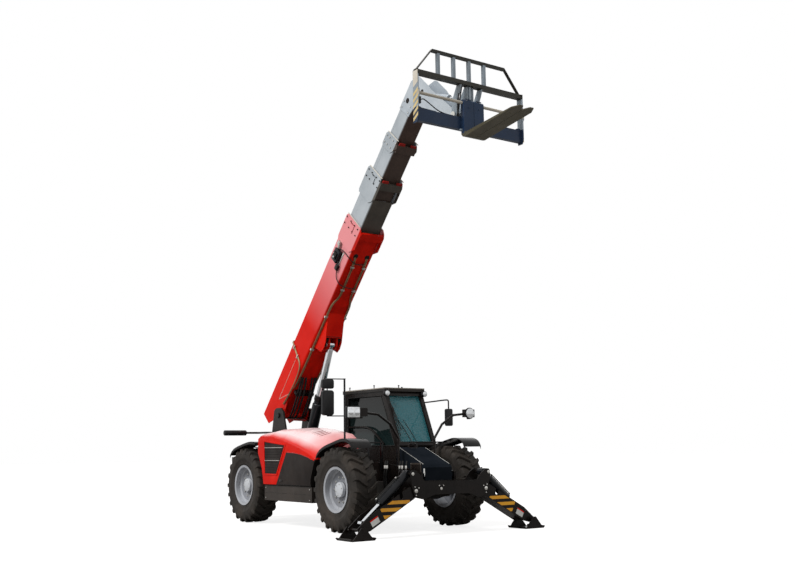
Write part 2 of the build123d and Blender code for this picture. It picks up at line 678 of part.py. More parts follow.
# each collar: behind the mouth, ahead of it, above the centre line, below it, size of its L-shaped slot
collar_table = [
    (420, 80, outer_height / 2 - 20, outer_height / 2 + 60, 150),
    (100, 400, second_height / 2 + 28, second_height / 2 + 40, 130),
    (90, 170, third_height / 2 - 14, third_height / 2 + 50, 0),
]
for index, (name, width, height, tail_s, mouth_s, corner) in enumerate(section_table):
    with BuildPart() as section:
        boom_tube(width, height, tail_s, mouth_s, corner)
        if index > 0:
            around = section_table[index - 1]
            tail_pads(width, height, around[1], around[2], tail_s)
        if index < 3:
            within = section_table[index + 1]
            mouth_pads(width, height, within[1], within[2], mouth_s)
            behind, ahead, above, below, slot = collar_table[index]
            start, end = mouth_s - behind, mouth_s + ahead
            plate = [
                (start, above - 30), (start + 40, above), (end - 50, above), (end, above - 40),
                (end, 100 - below),
                (end - 40, 40 - below), (end - 100, -below), (start + 130, -below), (start, 130 - below),
            ]
            for side in (-1, 1):
                slab(plate, *mirrored(side, width / 2, width / 2 + collar_plate), plane=boom_side)
            boom_block(end - 190, end - 60, -below, -height / 2 - 6, -width / 2, width / 2)
            if slot > 0:
                slot_cut = [
                    (end - 70, 60), (end - 70, 60 - slot), (end - 70 - slot, 60 - slot),
                    (end - 70 - slot, 85 - slot),
                    (end - 95, 85 - slot), (end - 95, 60),
                ]
                slab(slot_cut, -width, width, mode=Mode.SUBTRACT, plane=boom_side)
        if index == 0:
            tail_cut = [(tail_s - 20, 0), (tail_s - 20, -400), (-120, -400), (-120, -height / 2 - 1)]
            slab(tail_cut, -300, 300, mode=Mode.SUBTRACT, plane=boom_side)
            cheek = [
                (-420, -100), (-60, -100), (300, -250), (300, -height / 2), (40, pivot_n - 20),
                (pivot_s + 60, pivot_n - 90), (pivot_s - 60, pivot_n - 90), (pivot_s - 110, pivot_n - 20),
            ]
            cheek_y = width / 2 + 18
            for side in (-1, 1):
                slab(cheek, *mirrored(side, width / 2, cheek_y), plane=boom_side)
            cross_cylinder(boom_pivot_x, boom_pivot_z, pivot_boss_radius, -cheek_y, cheek_y)
            pin_bore = boom_pin_radius + pin_clearance
            cross_cylinder(boom_pivot_x, boom_pivot_z, pin_bore, -300, 300, mode=Mode.SUBTRACT)
            bracket = [
                (1300, -height / 2), (1960, -height / 2), (lift_eye_s + 80, lift_eye_n - 40),
                (lift_eye_s + 30, lift_eye_n - 75), (lift_eye_s - 30, lift_eye_n - 75),
                (lift_eye_s - 80, lift_eye_n - 40),
            ]
            for side in (-1, 1):
                slab(bracket, *mirrored(side, 62, 88), plane=boom_side)
    save(section, name)

# head: drop plates from the fourth section down to the carriage pivot
head_start_s = 5830
head_front_s = 6450
tilt_pivot_s = (tilt_pivot_x - datum_x) * boom_u[0] + (tilt_pivot_z - datum_z) * boom_u[2]
tilt_pivot_n = (tilt_pivot_z - datum_z) * boom_u[0] - (tilt_pivot_x - datum_x) * boom_u[2]
head_plate = [
    (head_start_s, 140), (6300, 140), (6430, 40), (head_front_s, -20), (head_front_s - 9, -330),
    (head_front_s - 27, -420), (head_front_s - 8, tilt_pivot_n + 90), (head_front_s, tilt_pivot_n + 20),
    (head_front_s, tilt_pivot_n - 20), (tilt_pivot_s + 30, tilt_pivot_n - 50),
    (tilt_pivot_s - 20, tilt_pivot_n - 50),
    (tilt_pivot_s - 62, tilt_pivot_n + 10), (6240, -800), (6100, -370), (6000, -200), (head_start_s, -165),
]
with BuildPart() as head:
    face = fourth_width / 2 + seat_gap
    for side in (-1, 1):
        slab(head_plate, *mirrored(side, face, face + collar_plate), plane=boom_side)
    rear_web = [(6100, -370), (6240, -800), (6325, -1170), (6339, -1167), (6254, -796), (6114, -374)]
    slab(rear_web, -face, face, plane=boom_side)
    top_web = [(fourth_end_s + 15, 126), (6300, 126), (6300, 138), (fourth_end_s + 15, 138)]
    slab(top_web, -face, face, plane=boom_side)
    base_x, base_z = boom_point(tilt_base_s, tilt_base_n)
    cross_cylinder(base_x, base_z, tilt_pin_radius, -face, face)
    cross_cylinder(tilt_pivot_x, tilt_pivot_z, tilt_boss_radius, -face - collar_plate, face + collar_plate)
    cross_cylinder(tilt_pivot_x, tilt_pivot_z, tilt_pivot_radius, -230, 230)
save(head, "head")

# carriage: beam, top bar, end plates, fork rail, and the lugs for the pivot and the tilt rod
top_bar_x = carriage_x + 10
with BuildPart() as carriage:
    beam_top_z = beam_low_z + beam_height
    top_bar_top_z = top_bar_low_z + top_bar_height
    end_inner_y = carriage_half_width - end_plate
    block(carriage_x, carriage_x + beam_depth, -end_inner_y, end_inner_y, beam_low_z, beam_top_z)
    block(top_bar_x, top_bar_x + top_bar_depth, -end_inner_y, end_inner_y, top_bar_low_z, top_bar_top_z)
    cross_cylinder(fork_rail_x, fork_rail_z, fork_rail_radius, -end_inner_y, end_inner_y)
    end_profile = [
        (carriage_x, beam_low_z - 30), (carriage_x, top_bar_top_z), (carriage_x + 120, top_bar_top_z),
        (carriage_x + 120, fork_rail_z + 80), (fork_rail_x + 34, fork_rail_z + 50),
        (fork_rail_x + 34, fork_rail_z - 50), (carriage_x + 120, fork_rail_z - 80),
        (carriage_x + 120, beam_low_z + 40),
        (carriage_x + 90, beam_low_z - 30),
    ]
    pivot_lug = [
        (carriage_x + 10, beam_low_z + 40), (carriage_x + 10, 6180), (carriage_x + 70, 6300),
        (carriage_x + 110, top_bar_low_z), (carriage_x + 12, top_bar_low_z), (tilt_pivot_x - 45, 6200),
        (tilt_pivot_x - 58, tilt_pivot_z + 30), (tilt_pivot_x - 52, tilt_pivot_z - 30),
        (tilt_pivot_x - 20, tilt_pivot_z - 58), (tilt_pivot_x + 30, tilt_pivot_z - 60),
    ]
    eye_lug = [
        (carriage_x + 70, top_bar_low_z), (carriage_x + 12, top_bar_low_z),
        (tilt_eye_x - 30, tilt_eye_z + 45),
        (tilt_eye_x - 42, tilt_eye_z), (tilt_eye_x - 25, tilt_eye_z - 38),
        (carriage_x + 30, tilt_eye_z - 60),
        (carriage_x + 70, tilt_eye_z - 60),
    ]
    for side in (-1, 1):
        slab(end_profile, *mirrored(side, end_inner_y, carriage_half_width))
        slab(pivot_lug, *mirrored(side, carriage_lug_y, carriage_lug_y + carriage_lug))
        slab(eye_lug, *mirrored(side, tilt_eye_gap / 2, tilt_eye_gap / 2 + 20))
    cross_cylinder(tilt_pivot_x, tilt_pivot_z, tilt_pivot_radius + pin_clearance, -300, 300,
        mode=Mode.SUBTRACT)
save(carriage, "carriage")

# load guard, seated on the top bar
guard_low_z = top_bar_top_z + seat_gap
guard_rail_z = guard_top_z - guard_tube
with BuildPart() as guard:
    with BuildSketch(Plane.YZ.offset(carriage_x + 20)):
        with Locations((0, (guard_rail_z + guard_top_z) / 2)):
            Rectangle(2 * guard_half_width, guard_tube)
        for y in (-570, -285, 0, 285):
            with Locations((y, (guard_low_z + guard_rail_z) / 2)):
                Rectangle(guard_upright, guard_rail_z - guard_low_z)
        for side in (-1, 1):
            with BuildLine():
                Polyline(
                    (side * (guard_half_width - 8), guard_top_z - 11),
                    (side * guard_half_width, guard_top_z),
                    (side * (carriage_half_width - 17), guard_low_z + 15),
                    (side * carriage_half_width, guard_low_z + 15),
                    (side * carriage_half_width, guard_low_z),
                    (side * (carriage_half_width - 45), guard_low_z),
                    (side * (carriage_half_width - 45), guard_low_z + 12),
                    (side * (carriage_half_width - 32), guard_low_z + 12), close=True,
                )
            make_face()
    extrude(amount=guard_depth)
save(guard, "guard")

# forks slide along the rail and rest against the beam; each blade rises towards its tip
shank_x = carriage_x + beam_depth + seat_gap
shank_front_x = shank_x + fork_shank
fork_tip_x = shank_front_x + fork_length
fork_tip_z = fork_heel_z + fork_rise + 62
fork_profile = [
    (shank_x, fork_heel_z + 45), (shank_x, fork_rail_z + 28), (shank_x + 20, fork_rail_z + 45),
    (shank_front_x - 20, fork_rail_z + 45), (shank_front_x, fork_rail_z + 25),
    (shank_front_x, fork_tip_z - fork_rise + 20),
    (shank_front_x + 20, fork_tip_z - fork_rise), (fork_tip_x, fork_tip_z),
    (fork_tip_x, fork_tip_z - fork_tip_thickness),
    (shank_front_x + 330, fork_heel_z + 45), (shank_x + 75, fork_heel_z), (shank_x + 30, fork_heel_z + 8),
]
for name, side in (("fork_right", -1), ("fork_left", 1)):
    inner, outer = mirrored(side, fork_inner_y, fork_inner_y + fork_width)
    rail_bore = fork_rail_radius + pin_clearance
    with BuildPart() as fork:
        slab(fork_profile, inner, outer)
        cross_cylinder(fork_rail_x, fork_rail_z, rail_bore, inner - 10, outer + 10, mode=Mode.SUBTRACT)
        with BuildSketch(Plane.XY.offset(fork_heel_z)):
            for corner_y in (inner, outer):
                toe = 60 if corner_y == inner else -60
                with BuildLine():
                    Polyline(
                        (fork_tip_x - 110, corner_y), (fork_tip_x + 5, corner_y),
                        (fork_tip_x + 5, corner_y + toe),
                        (fork_tip_x, corner_y + toe), close=True,
                    )
                make_face()
        extrude(amount=300, mode=Mode.SUBTRACT)
    save(fork, name)

# lift and tilt cylinders, drawn in side view along their own axes
# each: ends, pin radius, barrel eye, barrel and bore radius and length, rod radius and length, rod eye,
# half widths
lift_eye = boom_point(lift_eye_s, lift_eye_n)
tilt_base = boom_point(tilt_base_s, tilt_base_n)
tilt_eye = (tilt_eye_x, tilt_eye_z)
cylinder_table = [
    ("lift", (lift_base_x, lift_base_z), lift_eye, lift_pin_radius, 75, 78, 62, 1377, 42, 1380, 50, 60, 58),
    ("tilt", tilt_base, tilt_eye, tilt_pin_radius, 50, 48, 38, 660, 25, 770, 34, 40, 36),
]
for name, start, end, pin, base_eye, barrel_r, bore_r, barrel_length, *rod_values in cylinder_table:
    rod_r, rod_length, eye_r, base_half, eye_half = rod_values
    _, direction = cylinder_axis(start, end)
    axis_dir = (direction[0], 0, direction[1])
    origin = (start[0], 0, start[1])
    bore_start = base_eye + 15
    bore_end = barrel_length - 60
    with BuildPart() as barrel:
        with BuildSketch(Plane(origin=origin, x_dir=(0, 1, 0), z_dir=axis_dir)):
            Circle(barrel_r)
        extrude(amount=barrel_length)
        cross_cylinder(start[0], start[1], base_eye, -base_half, base_half)
        bore_origin = (start[0] + direction[0] * bore_start, 0, start[1] + direction[1] * bore_start)
        with BuildSketch(Plane(origin=bore_origin, x_dir=(0, 1, 0), z_dir=axis_dir)):
            Circle(bore_r)
        extrude(amount=bore_end - bore_start, mode=Mode.SUBTRACT)
        with BuildSketch(Plane(origin=bore_origin, x_dir=(0, 1, 0), z_dir=axis_dir)):
            Circle(rod_r + pin_clearance)
        extrude(amount=barrel_length, mode=Mode.SUBTRACT)
        cross_cylinder(start[0], start[1], pin + pin_clearance, -200, 200, mode=Mode.SUBTRACT)
    save(barrel, f"{name}_barrel")
    with BuildPart() as rod:
        tail = (end[0] - direction[0] * rod_length, 0, end[1] - direction[1] * rod_length)
        with BuildSketch(Plane(origin=tail, x_dir=(0, 1, 0), z_dir=axis_dir)):
            Circle(rod_r)
        extrude(amount=rod_length)
        with BuildSketch(Plane(origin=tail, x_dir=(0, 1, 0), z_dir=axis_dir)):
            Circle(bore_r - slide_gap)
        extrude(amount=60)
        cross_cylinder(end[0], end[1], eye_r, -eye_half + 6, eye_half - 6)
    save(rod, f"{name}_rod")

# stabilisers: channel leg on its pivot, foot on the leg's end, cylinder from the cross plates to the leg
leg_length = hypot(leg_foot_y - leg_pivot_y, leg_foot_z - leg_pivot_z)
leg_half = leg_width / 2
base_offset = (stab_base_y - leg_pivot_y, stab_base_z - leg_pivot_z)
leg_rest = ((leg_foot_y - leg_pivot_y) / leg_length, (leg_foot_z - leg_pivot_z) / leg_length)
fold_turn = (cos(radians(stab_fold)), sin(radians(stab_fold)))
leg_folded = (
    leg_rest[0] * fold_turn[0] - leg_rest[1] * fold_turn[1],
    leg_rest[0] * fold_turn[1] + leg_rest[1] * fold_turn[0],
)
# where the cylinder's base pin lies in the folded leg, along the leg and square to it
slot_s = base_offset[0] * leg_folded[0] + base_offset[1] * leg_folded[1]
slot_n = base_offset[1] * leg_folded[0] - base_offset[0] * leg_folded[1]
slot_radius = stab_base_radius + 8
for name, side in (("right", -1), ("left", 1)):
    pivot = (side * leg_pivot_y, leg_pivot_z)
    foot = (side * leg_foot_y, leg_foot_z)
    leg_plane = Plane(origin=(stab_x, *pivot), x_dir=(0, side * leg_rest[0], leg_rest[1]), z_dir=(1, 0, 0))
    up = side
    with BuildPart() as leg:
        for x_low in (-leg_half, leg_half - leg_wall):
            with BuildSketch(leg_plane.offset(x_low)):
                with BuildLine():
                    Polyline(
                        (-55, -45 * up), (-55, 40 * up), (60, leg_top_n * up),
                        (leg_length - 210, leg_top_n * up),
                        (leg_length + 30, 45 * up), (leg_length + 45, 0), (leg_length + 30, -45 * up),
                        (leg_length - 130, -leg_low_n * up), (60, -leg_low_n * up), close=True,
                    )
                make_face()
                slot_centre = (slot_s - 12, (slot_n + 45) * up)
                SlotCenterPoint(slot_centre, (slot_s, slot_n * up), 2 * slot_radius, mode=Mode.SUBTRACT)
            extrude(amount=leg_wall)
        with BuildSketch(leg_plane.offset(-leg_half)):
            with BuildLine():
                Polyline(
                    (60, -leg_low_n * up), (leg_length - 200, -leg_low_n * up),
                    (leg_length - 200, (leg_wall - leg_low_n) * up), (60, (leg_wall - leg_low_n) * up),
                    close=True,
                )
            make_face()
        extrude(amount=leg_width)
        with BuildSketch(leg_plane.offset(-leg_half)):
            Circle(45)
        extrude(amount=leg_width)
        with BuildSketch(leg_plane.offset(-leg_half)):
            Circle(leg_pin_radius + pin_clearance)
        extrude(amount=leg_width, mode=Mode.SUBTRACT)
        with BuildSketch(leg_plane.offset(-pad_half_length - 4)):
            with Locations((leg_length, 0)):
                Circle(foot_pin_radius)
        extrude(amount=2 * pad_half_length + 8)
    save(leg, f"leg_{name}")

    # foot: flat shoe with upturned ends and two gusset plates
    with BuildPart() as pad:
        shoe_low = foot[0] - pad_half_width
        shoe_high = foot[0] + pad_half_width
        shoe = [
            (shoe_low + 25, 0), (shoe_high - 25, 0), (shoe_high, 25), (shoe_high - 8, 37),
            (shoe_high - 30, pad_plate),
            (shoe_low + 30, pad_plate), (shoe_low + 8, 37), (shoe_low, 25),
        ]
        with BuildSketch(Plane.YZ.offset(stab_x - pad_half_length)):
            with BuildLine():
                Polyline(*shoe, close=True)
            make_face()
        extrude(amount=2 * pad_half_length)
        gusset = [
            (shoe_low + 40, 10), (shoe_high - 40, 10), (foot[0] + 52, foot[1] + 10),
            (foot[0] + 30, foot[1] + 38),
            (foot[0] - 30, foot[1] + 38), (foot[0] - 52, foot[1] + 10),
        ]
        for x in (stab_x - pad_half_length, stab_x + pad_half_length - pad_plate):
            with BuildSketch(Plane.YZ.offset(x)):
                with BuildLine():
                    Polyline(*gusset, close=True)
                make_face()
                with Locations(foot):
                    Circle(foot_pin_radius + pin_clearance, mode=Mode.SUBTRACT)
            extrude(amount=pad_plate)
    save(pad, f"pad_{name}")

    base = (side * stab_base_y, stab_base_z)
    eye_y = pivot[0] + (foot[0] - pivot[0]) * stab_eye_t
    eye_z = pivot[1] + (foot[1] - pivot[1]) * stab_eye_t + stab_eye_rise
    reach, direction = cylinder_axis(base, (eye_y, eye_z))
    axis_dir = (0, direction[0], direction[1])
    with BuildPart() as stab_barrel:
        with BuildSketch(Plane(origin=(stab_x, base[0], base[1]), x_dir=(1, 0, 0), z_dir=axis_dir)):
            Circle(stab_barrel_radius)
        extrude(amount=stab_barrel_length)
        lengthways_cylinder(base[0], base[1], 50, stab_x - 60, stab_x + 60)
        inner_start = (stab_x, base[0] + direction[0] * 62, base[1] + direction[1] * 62)
        with BuildSketch(Plane(origin=inner_start, x_dir=(1, 0, 0), z_dir=axis_dir)):
            Circle(stab_rod_radius + pin_clearance)
        extrude(amount=stab_barrel_length, mode=Mode.SUBTRACT)
        base_bore = stab_base_radius + pin_clearance
        lengthways_cylinder(base[0], base[1], base_bore, stab_x - 80, stab_x + 80, mode=Mode.SUBTRACT)
    save(stab_barrel, f"stab_barrel_{name}")
    with BuildPart() as stab_rod:
        back_dir = (0, -direction[0], -direction[1])
        with BuildSketch(Plane(origin=(stab_x, eye_y, eye_z), x_dir=(1, 0, 0), z_dir=back_dir)):
            Circle(stab_rod_radius)
        extrude(amount=stab_rod_length)
        lengthways_cylinder(eye_y, eye_z, 36, stab_x - 45, stab_x + 45)
    save(stab_rod, f"stab_rod_{name}")
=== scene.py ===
import math

import bpy
from mathutils import Matrix, Vector


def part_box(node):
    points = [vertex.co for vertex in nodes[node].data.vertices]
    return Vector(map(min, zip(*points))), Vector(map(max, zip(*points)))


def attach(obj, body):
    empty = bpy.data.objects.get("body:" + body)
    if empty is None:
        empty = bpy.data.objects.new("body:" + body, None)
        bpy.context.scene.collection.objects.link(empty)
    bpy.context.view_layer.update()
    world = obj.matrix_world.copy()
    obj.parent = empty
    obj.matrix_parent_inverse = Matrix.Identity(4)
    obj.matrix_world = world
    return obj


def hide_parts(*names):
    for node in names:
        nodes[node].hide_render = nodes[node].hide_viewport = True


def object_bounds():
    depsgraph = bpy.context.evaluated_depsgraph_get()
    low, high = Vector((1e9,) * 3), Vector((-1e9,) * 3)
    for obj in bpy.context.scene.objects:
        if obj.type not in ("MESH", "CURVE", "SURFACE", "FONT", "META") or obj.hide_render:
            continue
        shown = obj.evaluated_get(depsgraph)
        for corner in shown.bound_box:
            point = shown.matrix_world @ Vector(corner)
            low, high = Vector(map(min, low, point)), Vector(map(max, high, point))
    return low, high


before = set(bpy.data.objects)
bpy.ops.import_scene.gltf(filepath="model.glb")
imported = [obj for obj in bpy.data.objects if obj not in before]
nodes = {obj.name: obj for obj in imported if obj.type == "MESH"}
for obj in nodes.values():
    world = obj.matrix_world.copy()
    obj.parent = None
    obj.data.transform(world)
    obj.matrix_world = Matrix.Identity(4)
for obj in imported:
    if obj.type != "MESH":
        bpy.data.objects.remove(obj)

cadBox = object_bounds()
print("frame loaded,", len(nodes), "nodes")


def letGo():
    if bpy.context.object and bpy.context.object.mode != "OBJECT":
        bpy.ops.object.mode_set(mode="OBJECT")
    bpy.ops.object.select_all(action="DESELECT")


def pick(piece):
    letGo()
    piece.select_set(True)
    bpy.context.view_layer.objects.active = piece


def pickAll(parts):
    letGo()
    for part in parts:
        part.select_set(True)
    bpy.context.view_layer.objects.active = parts[0]


def settle(piece):
    pick(piece)
    bpy.ops.object.transform_apply(location=True, rotation=True, scale=True)
    return piece


def editAll(piece):
    pick(piece)
    bpy.ops.object.mode_set(mode="EDIT")
    bpy.ops.mesh.select_mode(type="VERT")
    bpy.ops.mesh.select_all(action="SELECT")


def chooseFaces(piece, test):
    # leaves the piece in edit mode with the faces that pass the test selected
    editAll(piece)
    bpy.ops.mesh.select_mode(type="FACE")
    bpy.ops.mesh.select_all(action="DESELECT")
    bpy.ops.object.mode_set(mode="OBJECT")
    for face in piece.data.polygons:
        face.select = test(face.center, face.normal)
    bpy.ops.object.mode_set(mode="EDIT")


def applied(piece, kind, **settings):
    pick(piece)
    modifier = piece.modifiers.new("step", kind)
    for name, value in settings.items():
        setattr(modifier, name, value)
    bpy.ops.object.modifier_apply(modifier="step")


def coat(piece, finish):
    piece.data.materials.clear()
    piece.data.materials.append(finish)
    return piece


def block(finish, low, high, soft=0.004, steps=2):
    low, high = Vector(low), Vector(high)
    letGo()
    bpy.ops.mesh.primitive_cube_add(size=1, location=(low + high) / 2)
    piece = bpy.context.object
    piece.scale = high - low
    settle(piece)
    if soft:
        editAll(piece)
        bpy.ops.mesh.bevel(offset=soft, segments=steps, affect="EDGES")
        letGo()
    return coat(piece, finish)


def rod(finish, start, end, radius, sides=20, soft=0.0):
    start, end = Vector(start), Vector(end)
    run = end - start
    letGo()
    bpy.ops.mesh.primitive_cylinder_add(
        vertices=sides, radius=radius, depth=run.length, location=(start + end) / 2,
        rotation=run.to_track_quat("Z", "Y").to_euler())
    piece = settle(bpy.context.object)
    if soft:
        editAll(piece)
        bpy.ops.mesh.select_all(action="DESELECT")
        bpy.ops.mesh.select_mode(type="EDGE")
        bpy.ops.mesh.edges_select_sharp(sharpness=math.radians(60))
        bpy.ops.mesh.bevel(offset=soft, segments=2, affect="EDGES")
        letGo()
    return coat(piece, finish)


def stud(finish, start, way, length, radius, sides=6, soft=0.001):
    start = Vector(start)
    return rod(finish, start, start + Vector(way) * length, radius, sides, soft)


def fromCurve(line):
    piece = bpy.data.objects.new("line", line)
    bpy.context.scene.collection.objects.link(piece)
    pick(piece)
    bpy.ops.object.convert(target="MESH")
    return bpy.context.object


def pipe(finish, points, radius, bent=True, rounds=2):
    letGo()
    line = bpy.data.curves.new("pipe", "CURVE")
    line.dimensions = "3D"
    spline = line.splines.new("NURBS" if bent else "POLY")
    spline.points.add(len(points) - 1)
    for point, place in zip(spline.points, points):
        point.co = (*place, 1)
    spline.order_u = 3
    spline.use_endpoint_u = True
    line.resolution_u = 5
    line.bevel_depth = radius
    line.bevel_resolution = rounds
    line.use_fill_caps = True
    return coat(fromCurve(line), finish)


def plate(finish, outline, thick, origin, across=(1, 0, 0), up=(0, 0, 1), soft=0.0, holes=()):
    # a flat outline, stood up in its plane and grown along across x up
    letGo()
    line = bpy.data.curves.new("plate", "CURVE")
    line.dimensions = "2D"
    line.fill_mode = "BOTH"
    line.extrude = thick / 2 - soft
    line.bevel_depth = soft
    line.offset = -soft
    for loop in (outline, *holes):
        spline = line.splines.new("POLY")
        spline.points.add(len(loop) - 1)
        for point, (a, b) in zip(spline.points, loop):
            point.co = (a, b, 0, 1)
        spline.use_cyclic_u = True
    piece = fromCurve(line)
    across, up = Vector(across).normalized(), Vector(up).normalized()
    out = across.cross(up)
    turn = Matrix((across, up, out)).transposed().to_4x4()
    piece.matrix_world = Matrix.Translation(Vector(origin) + out * thick / 2) @ turn
    settle(piece)
    editAll(piece)
    bpy.ops.mesh.remove_doubles(threshold=0.00005)
    bpy.ops.mesh.normals_make_consistent(inside=False)
    letGo()
    return coat(piece, finish)


def wire(places):
    # a run of edges through the places, left in edit mode
    letGo()
    bpy.ops.mesh.primitive_plane_add(size=0.001, location=places[0])
    line = settle(bpy.context.object)
    editAll(line)
    bpy.ops.mesh.merge(type="CENTER")
    for a, b in zip(places, places[1:]):
        bpy.ops.mesh.extrude_region_move(TRANSFORM_OT_translate={"value": Vector(b) - Vector(a)})
    return line


def ringOf(finish, centre, axis, profile, steps=48):
    # spins a closed profile of (radius, place along the axis)
    centre = Vector(centre)
    out = Vector(axis).orthogonal().normalized()
    places = [centre + out * r + Vector(axis) * a for r, a in profile]
    piece = wire([*places, places[0]])
    bpy.ops.mesh.select_all(action="SELECT")
    bpy.ops.mesh.remove_doubles(threshold=0.0001)
    bpy.ops.mesh.select_all(action="SELECT")
    bpy.ops.mesh.spin(steps=steps, angle=math.tau, center=centre, axis=axis)
    bpy.ops.mesh.select_all(action="SELECT")
    bpy.ops.mesh.remove_doubles(threshold=0.0001)
    bpy.ops.mesh.normals_make_consistent(inside=False)
    letGo()
    return coat(piece, finish)


def copyOf(piece, place):
    twin = piece.copy()
    twin.data = piece.data.copy()
    bpy.context.scene.collection.objects.link(twin)
    twin.data.transform(place)
    if place.determinant() < 0:
        twin.data.flip_normals()
    return twin


def onCircle(centre, radius, turn):
    # a place on a wheel's circle, which lies square to y
    return Vector((centre.x + radius * math.cos(turn), centre.y, centre.z + radius * math.sin(turn)))


def joined(name, parts, body, angle=35, replaces=()):
    pickAll(parts)
    if len(parts) > 1:
        bpy.ops.object.join()
    piece = bpy.context.object
    piece.name = name
    piece.data.name = name
    settle(piece)
    bpy.ops.object.shade_smooth_by_angle(angle=math.radians(angle))
    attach(piece, body)
    if replaces:
        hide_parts(*replaces)
    return piece


def freshFinish(name):
    finish = bpy.data.materials.new(name)
    finish.use_nodes = True
    tree = finish.node_tree
    return finish, tree, tree.nodes["Principled BSDF"]


def link(tree, a, b):
    tree.links.new(a, b)


def mottle(tree, scale, detail=4.0, rough=0.55):
    # soft noise on the piece's own coordinates
    coords = tree.nodes.new("ShaderNodeTexCoord")
    noise = tree.nodes.new("ShaderNodeTexNoise")
    noise.inputs["Scale"].default_value = scale
    noise.inputs["Detail"].default_value = detail
    noise.inputs["Roughness"].default_value = rough
    link(tree, coords.outputs["Object"], noise.inputs["Vector"])
    return noise.outputs["Fac"]


def ramp(tree, source, low, high, start=0.35, end=0.65):
    band = tree.nodes.new("ShaderNodeValToRGB")
    for element, position, tone in zip(band.color_ramp.elements, (start, end), (low, high)):
        element.position = position
        element.color = (*tone, 1)
    link(tree, source, band.inputs["Fac"])
    return band.outputs["Color"]


def spread(tree, source, low, high, start=0.3, end=0.7):
    change = tree.nodes.new("ShaderNodeMapRange")
    for socket, value in (("From Min", start), ("From Max", end), ("To Min", low), ("To Max", high)):
        change.inputs[socket].default_value = value
    link(tree, source, change.inputs["Value"])
    return change.outputs["Result"]


def sums(tree, operation, a, b=None):
    # b is another socket or a number
    node = tree.nodes.new("ShaderNodeMath")
    node.operation = operation
    link(tree, a, node.inputs[0])
    if isinstance(b, float):
        node.inputs[1].default_value = b
    elif b is not None:
        link(tree, b, node.inputs[1])
    return node.outputs[0]


def mixed(tree, factor, a, b):
    blend = tree.nodes.new("ShaderNodeMix")
    blend.data_type = "RGBA"
    link(tree, factor, blend.inputs["Factor"])
    for socket, value in ((blend.inputs[6], a), (blend.inputs[7], b)):
        if isinstance(value, tuple):
            socket.default_value = (*value, 1)
        else:
            link(tree, value, socket)
    return blend.outputs[2]


def placeOn(tree):
    coords = tree.nodes.new("ShaderNodeTexCoord")
    parted = tree.nodes.new("ShaderNodeSeparateXYZ")
    link(tree, coords.outputs["Object"], parted.inputs["Vector"])
    return parted.outputs["X"], parted.outputs["Y"], parted.outputs["Z"]


def bumped(tree, shader, height, strength, distance=0.002):
    bump = tree.nodes.new("ShaderNodeBump")
    bump.inputs["Strength"].default_value = strength
    bump.inputs["Distance"].default_value = distance
    link(tree, height, bump.inputs["Height"])
    link(tree, bump.outputs["Normal"], shader.inputs["Normal"])


def surface(tree, shader, colour, rough, shine, grain=None, patches=(9.0, 6.0)):
    # grain is the scale and strength of the bumps, and their depth where it isn't the usual one
    link(tree, colour, shader.inputs["Base Color"])
    link(tree, spread(tree, mottle(tree, *patches), *rough), shader.inputs["Roughness"])
    shader.inputs["Specular IOR Level"].default_value = shine
    if grain:
        scale, *strength = grain
        bumped(tree, shader, mottle(tree, scale), *strength)


def paint(name, low, high, rough=(0.25, 0.4), metal=0.0, coating=0.0, scale=3.0, grain=60.0, bump=0.05,
          dust=None, shine=0.35):
    finish, tree, shader = freshFinish(name)
    colour = ramp(tree, mottle(tree, scale), low, high)
    if dust:
        film = spread(tree, mottle(tree, 1.7, 8.0, 0.7), 0.0, dust[1], 0.5, 0.72)
        colour = mixed(tree, film, colour, dust[0])
    surface(tree, shader, colour, rough, shine, (grain, bump))
    shader.inputs["Metallic"].default_value = metal
    shader.inputs["Coat Weight"].default_value = coating
    shader.inputs["Coat Roughness"].default_value = 0.06
    return finish


soil, greyDust = (0.10, 0.075, 0.055), (0.16, 0.13, 0.11)
red, darkRed = ((0.62, 0.007, 0.002), (0.74, 0.013, 0.004)), (0.70, 0.012, 0.004)
redPaint = paint("redPaint", *red, (0.28, 0.38), dust=(soil, 0.04), shine=0.05)
# pale pink that stands for the sun's highlight on red paint: a painted highlight
paintedHighlightPink = paint("paintedHighlightPink", (0.76, 0.20, 0.20), (0.86, 0.42, 0.42), (0.22, 0.32), coating=0.2, scale=0.9,
                  shine=0.3)
deepRed = paint("deepRed", (0.22, 0.010, 0.008), (0.30, 0.016, 0.012), (0.35, 0.5), shine=0.1)
blackPaint = paint("blackPaint", (0.006, 0.0045, 0.004), (0.012, 0.009, 0.008), (0.22, 0.36),
                   dust=(soil, 0.07), shine=0.16)
glossBlack = paint("glossBlack", (0.007, 0.0075, 0.009), (0.012, 0.013, 0.015), (0.16, 0.26), shine=0.2)
fenderBlack = paint("fenderBlack", (0.007, 0.0065, 0.007), (0.013, 0.012, 0.012), (0.16, 0.26),
                    dust=(soil, 0.04), shine=0.16)
noseBlack = paint("noseBlack", (0.008, 0.0105, 0.014), (0.014, 0.017, 0.022), (0.22, 0.34), shine=0.0)
mattBlack = paint("mattBlack", (0.010, 0.007, 0.006), (0.018, 0.013, 0.011), (0.45, 0.6),
                  dust=(soil, 0.08), shine=0.14)
skirtGrey = paint("skirtGrey", (0.030, 0.024, 0.020), (0.042, 0.034, 0.029), (0.42, 0.55),
                  dust=(soil, 0.15), shine=0.2)
boomGrey = paint("boomGrey", (0.35, 0.385, 0.41), (0.47, 0.505, 0.53), (0.3, 0.42), metal=0.1, scale=1.8,
                 dust=(greyDust, 0.25))
headGrey = paint("headGrey", (0.40, 0.45, 0.50), (0.52, 0.57, 0.61), (0.3, 0.42), dust=(greyDust, 0.2))
navyPaint = paint("navyPaint", (0.012, 0.026, 0.062), (0.020, 0.040, 0.088), (0.3, 0.42),
                  dust=(soil, 0.08), shine=0.2)
palePaint = paint("palePaint", (0.30, 0.36, 0.41), (0.42, 0.48, 0.53), (0.3, 0.4), dust=(soil, 0.12))
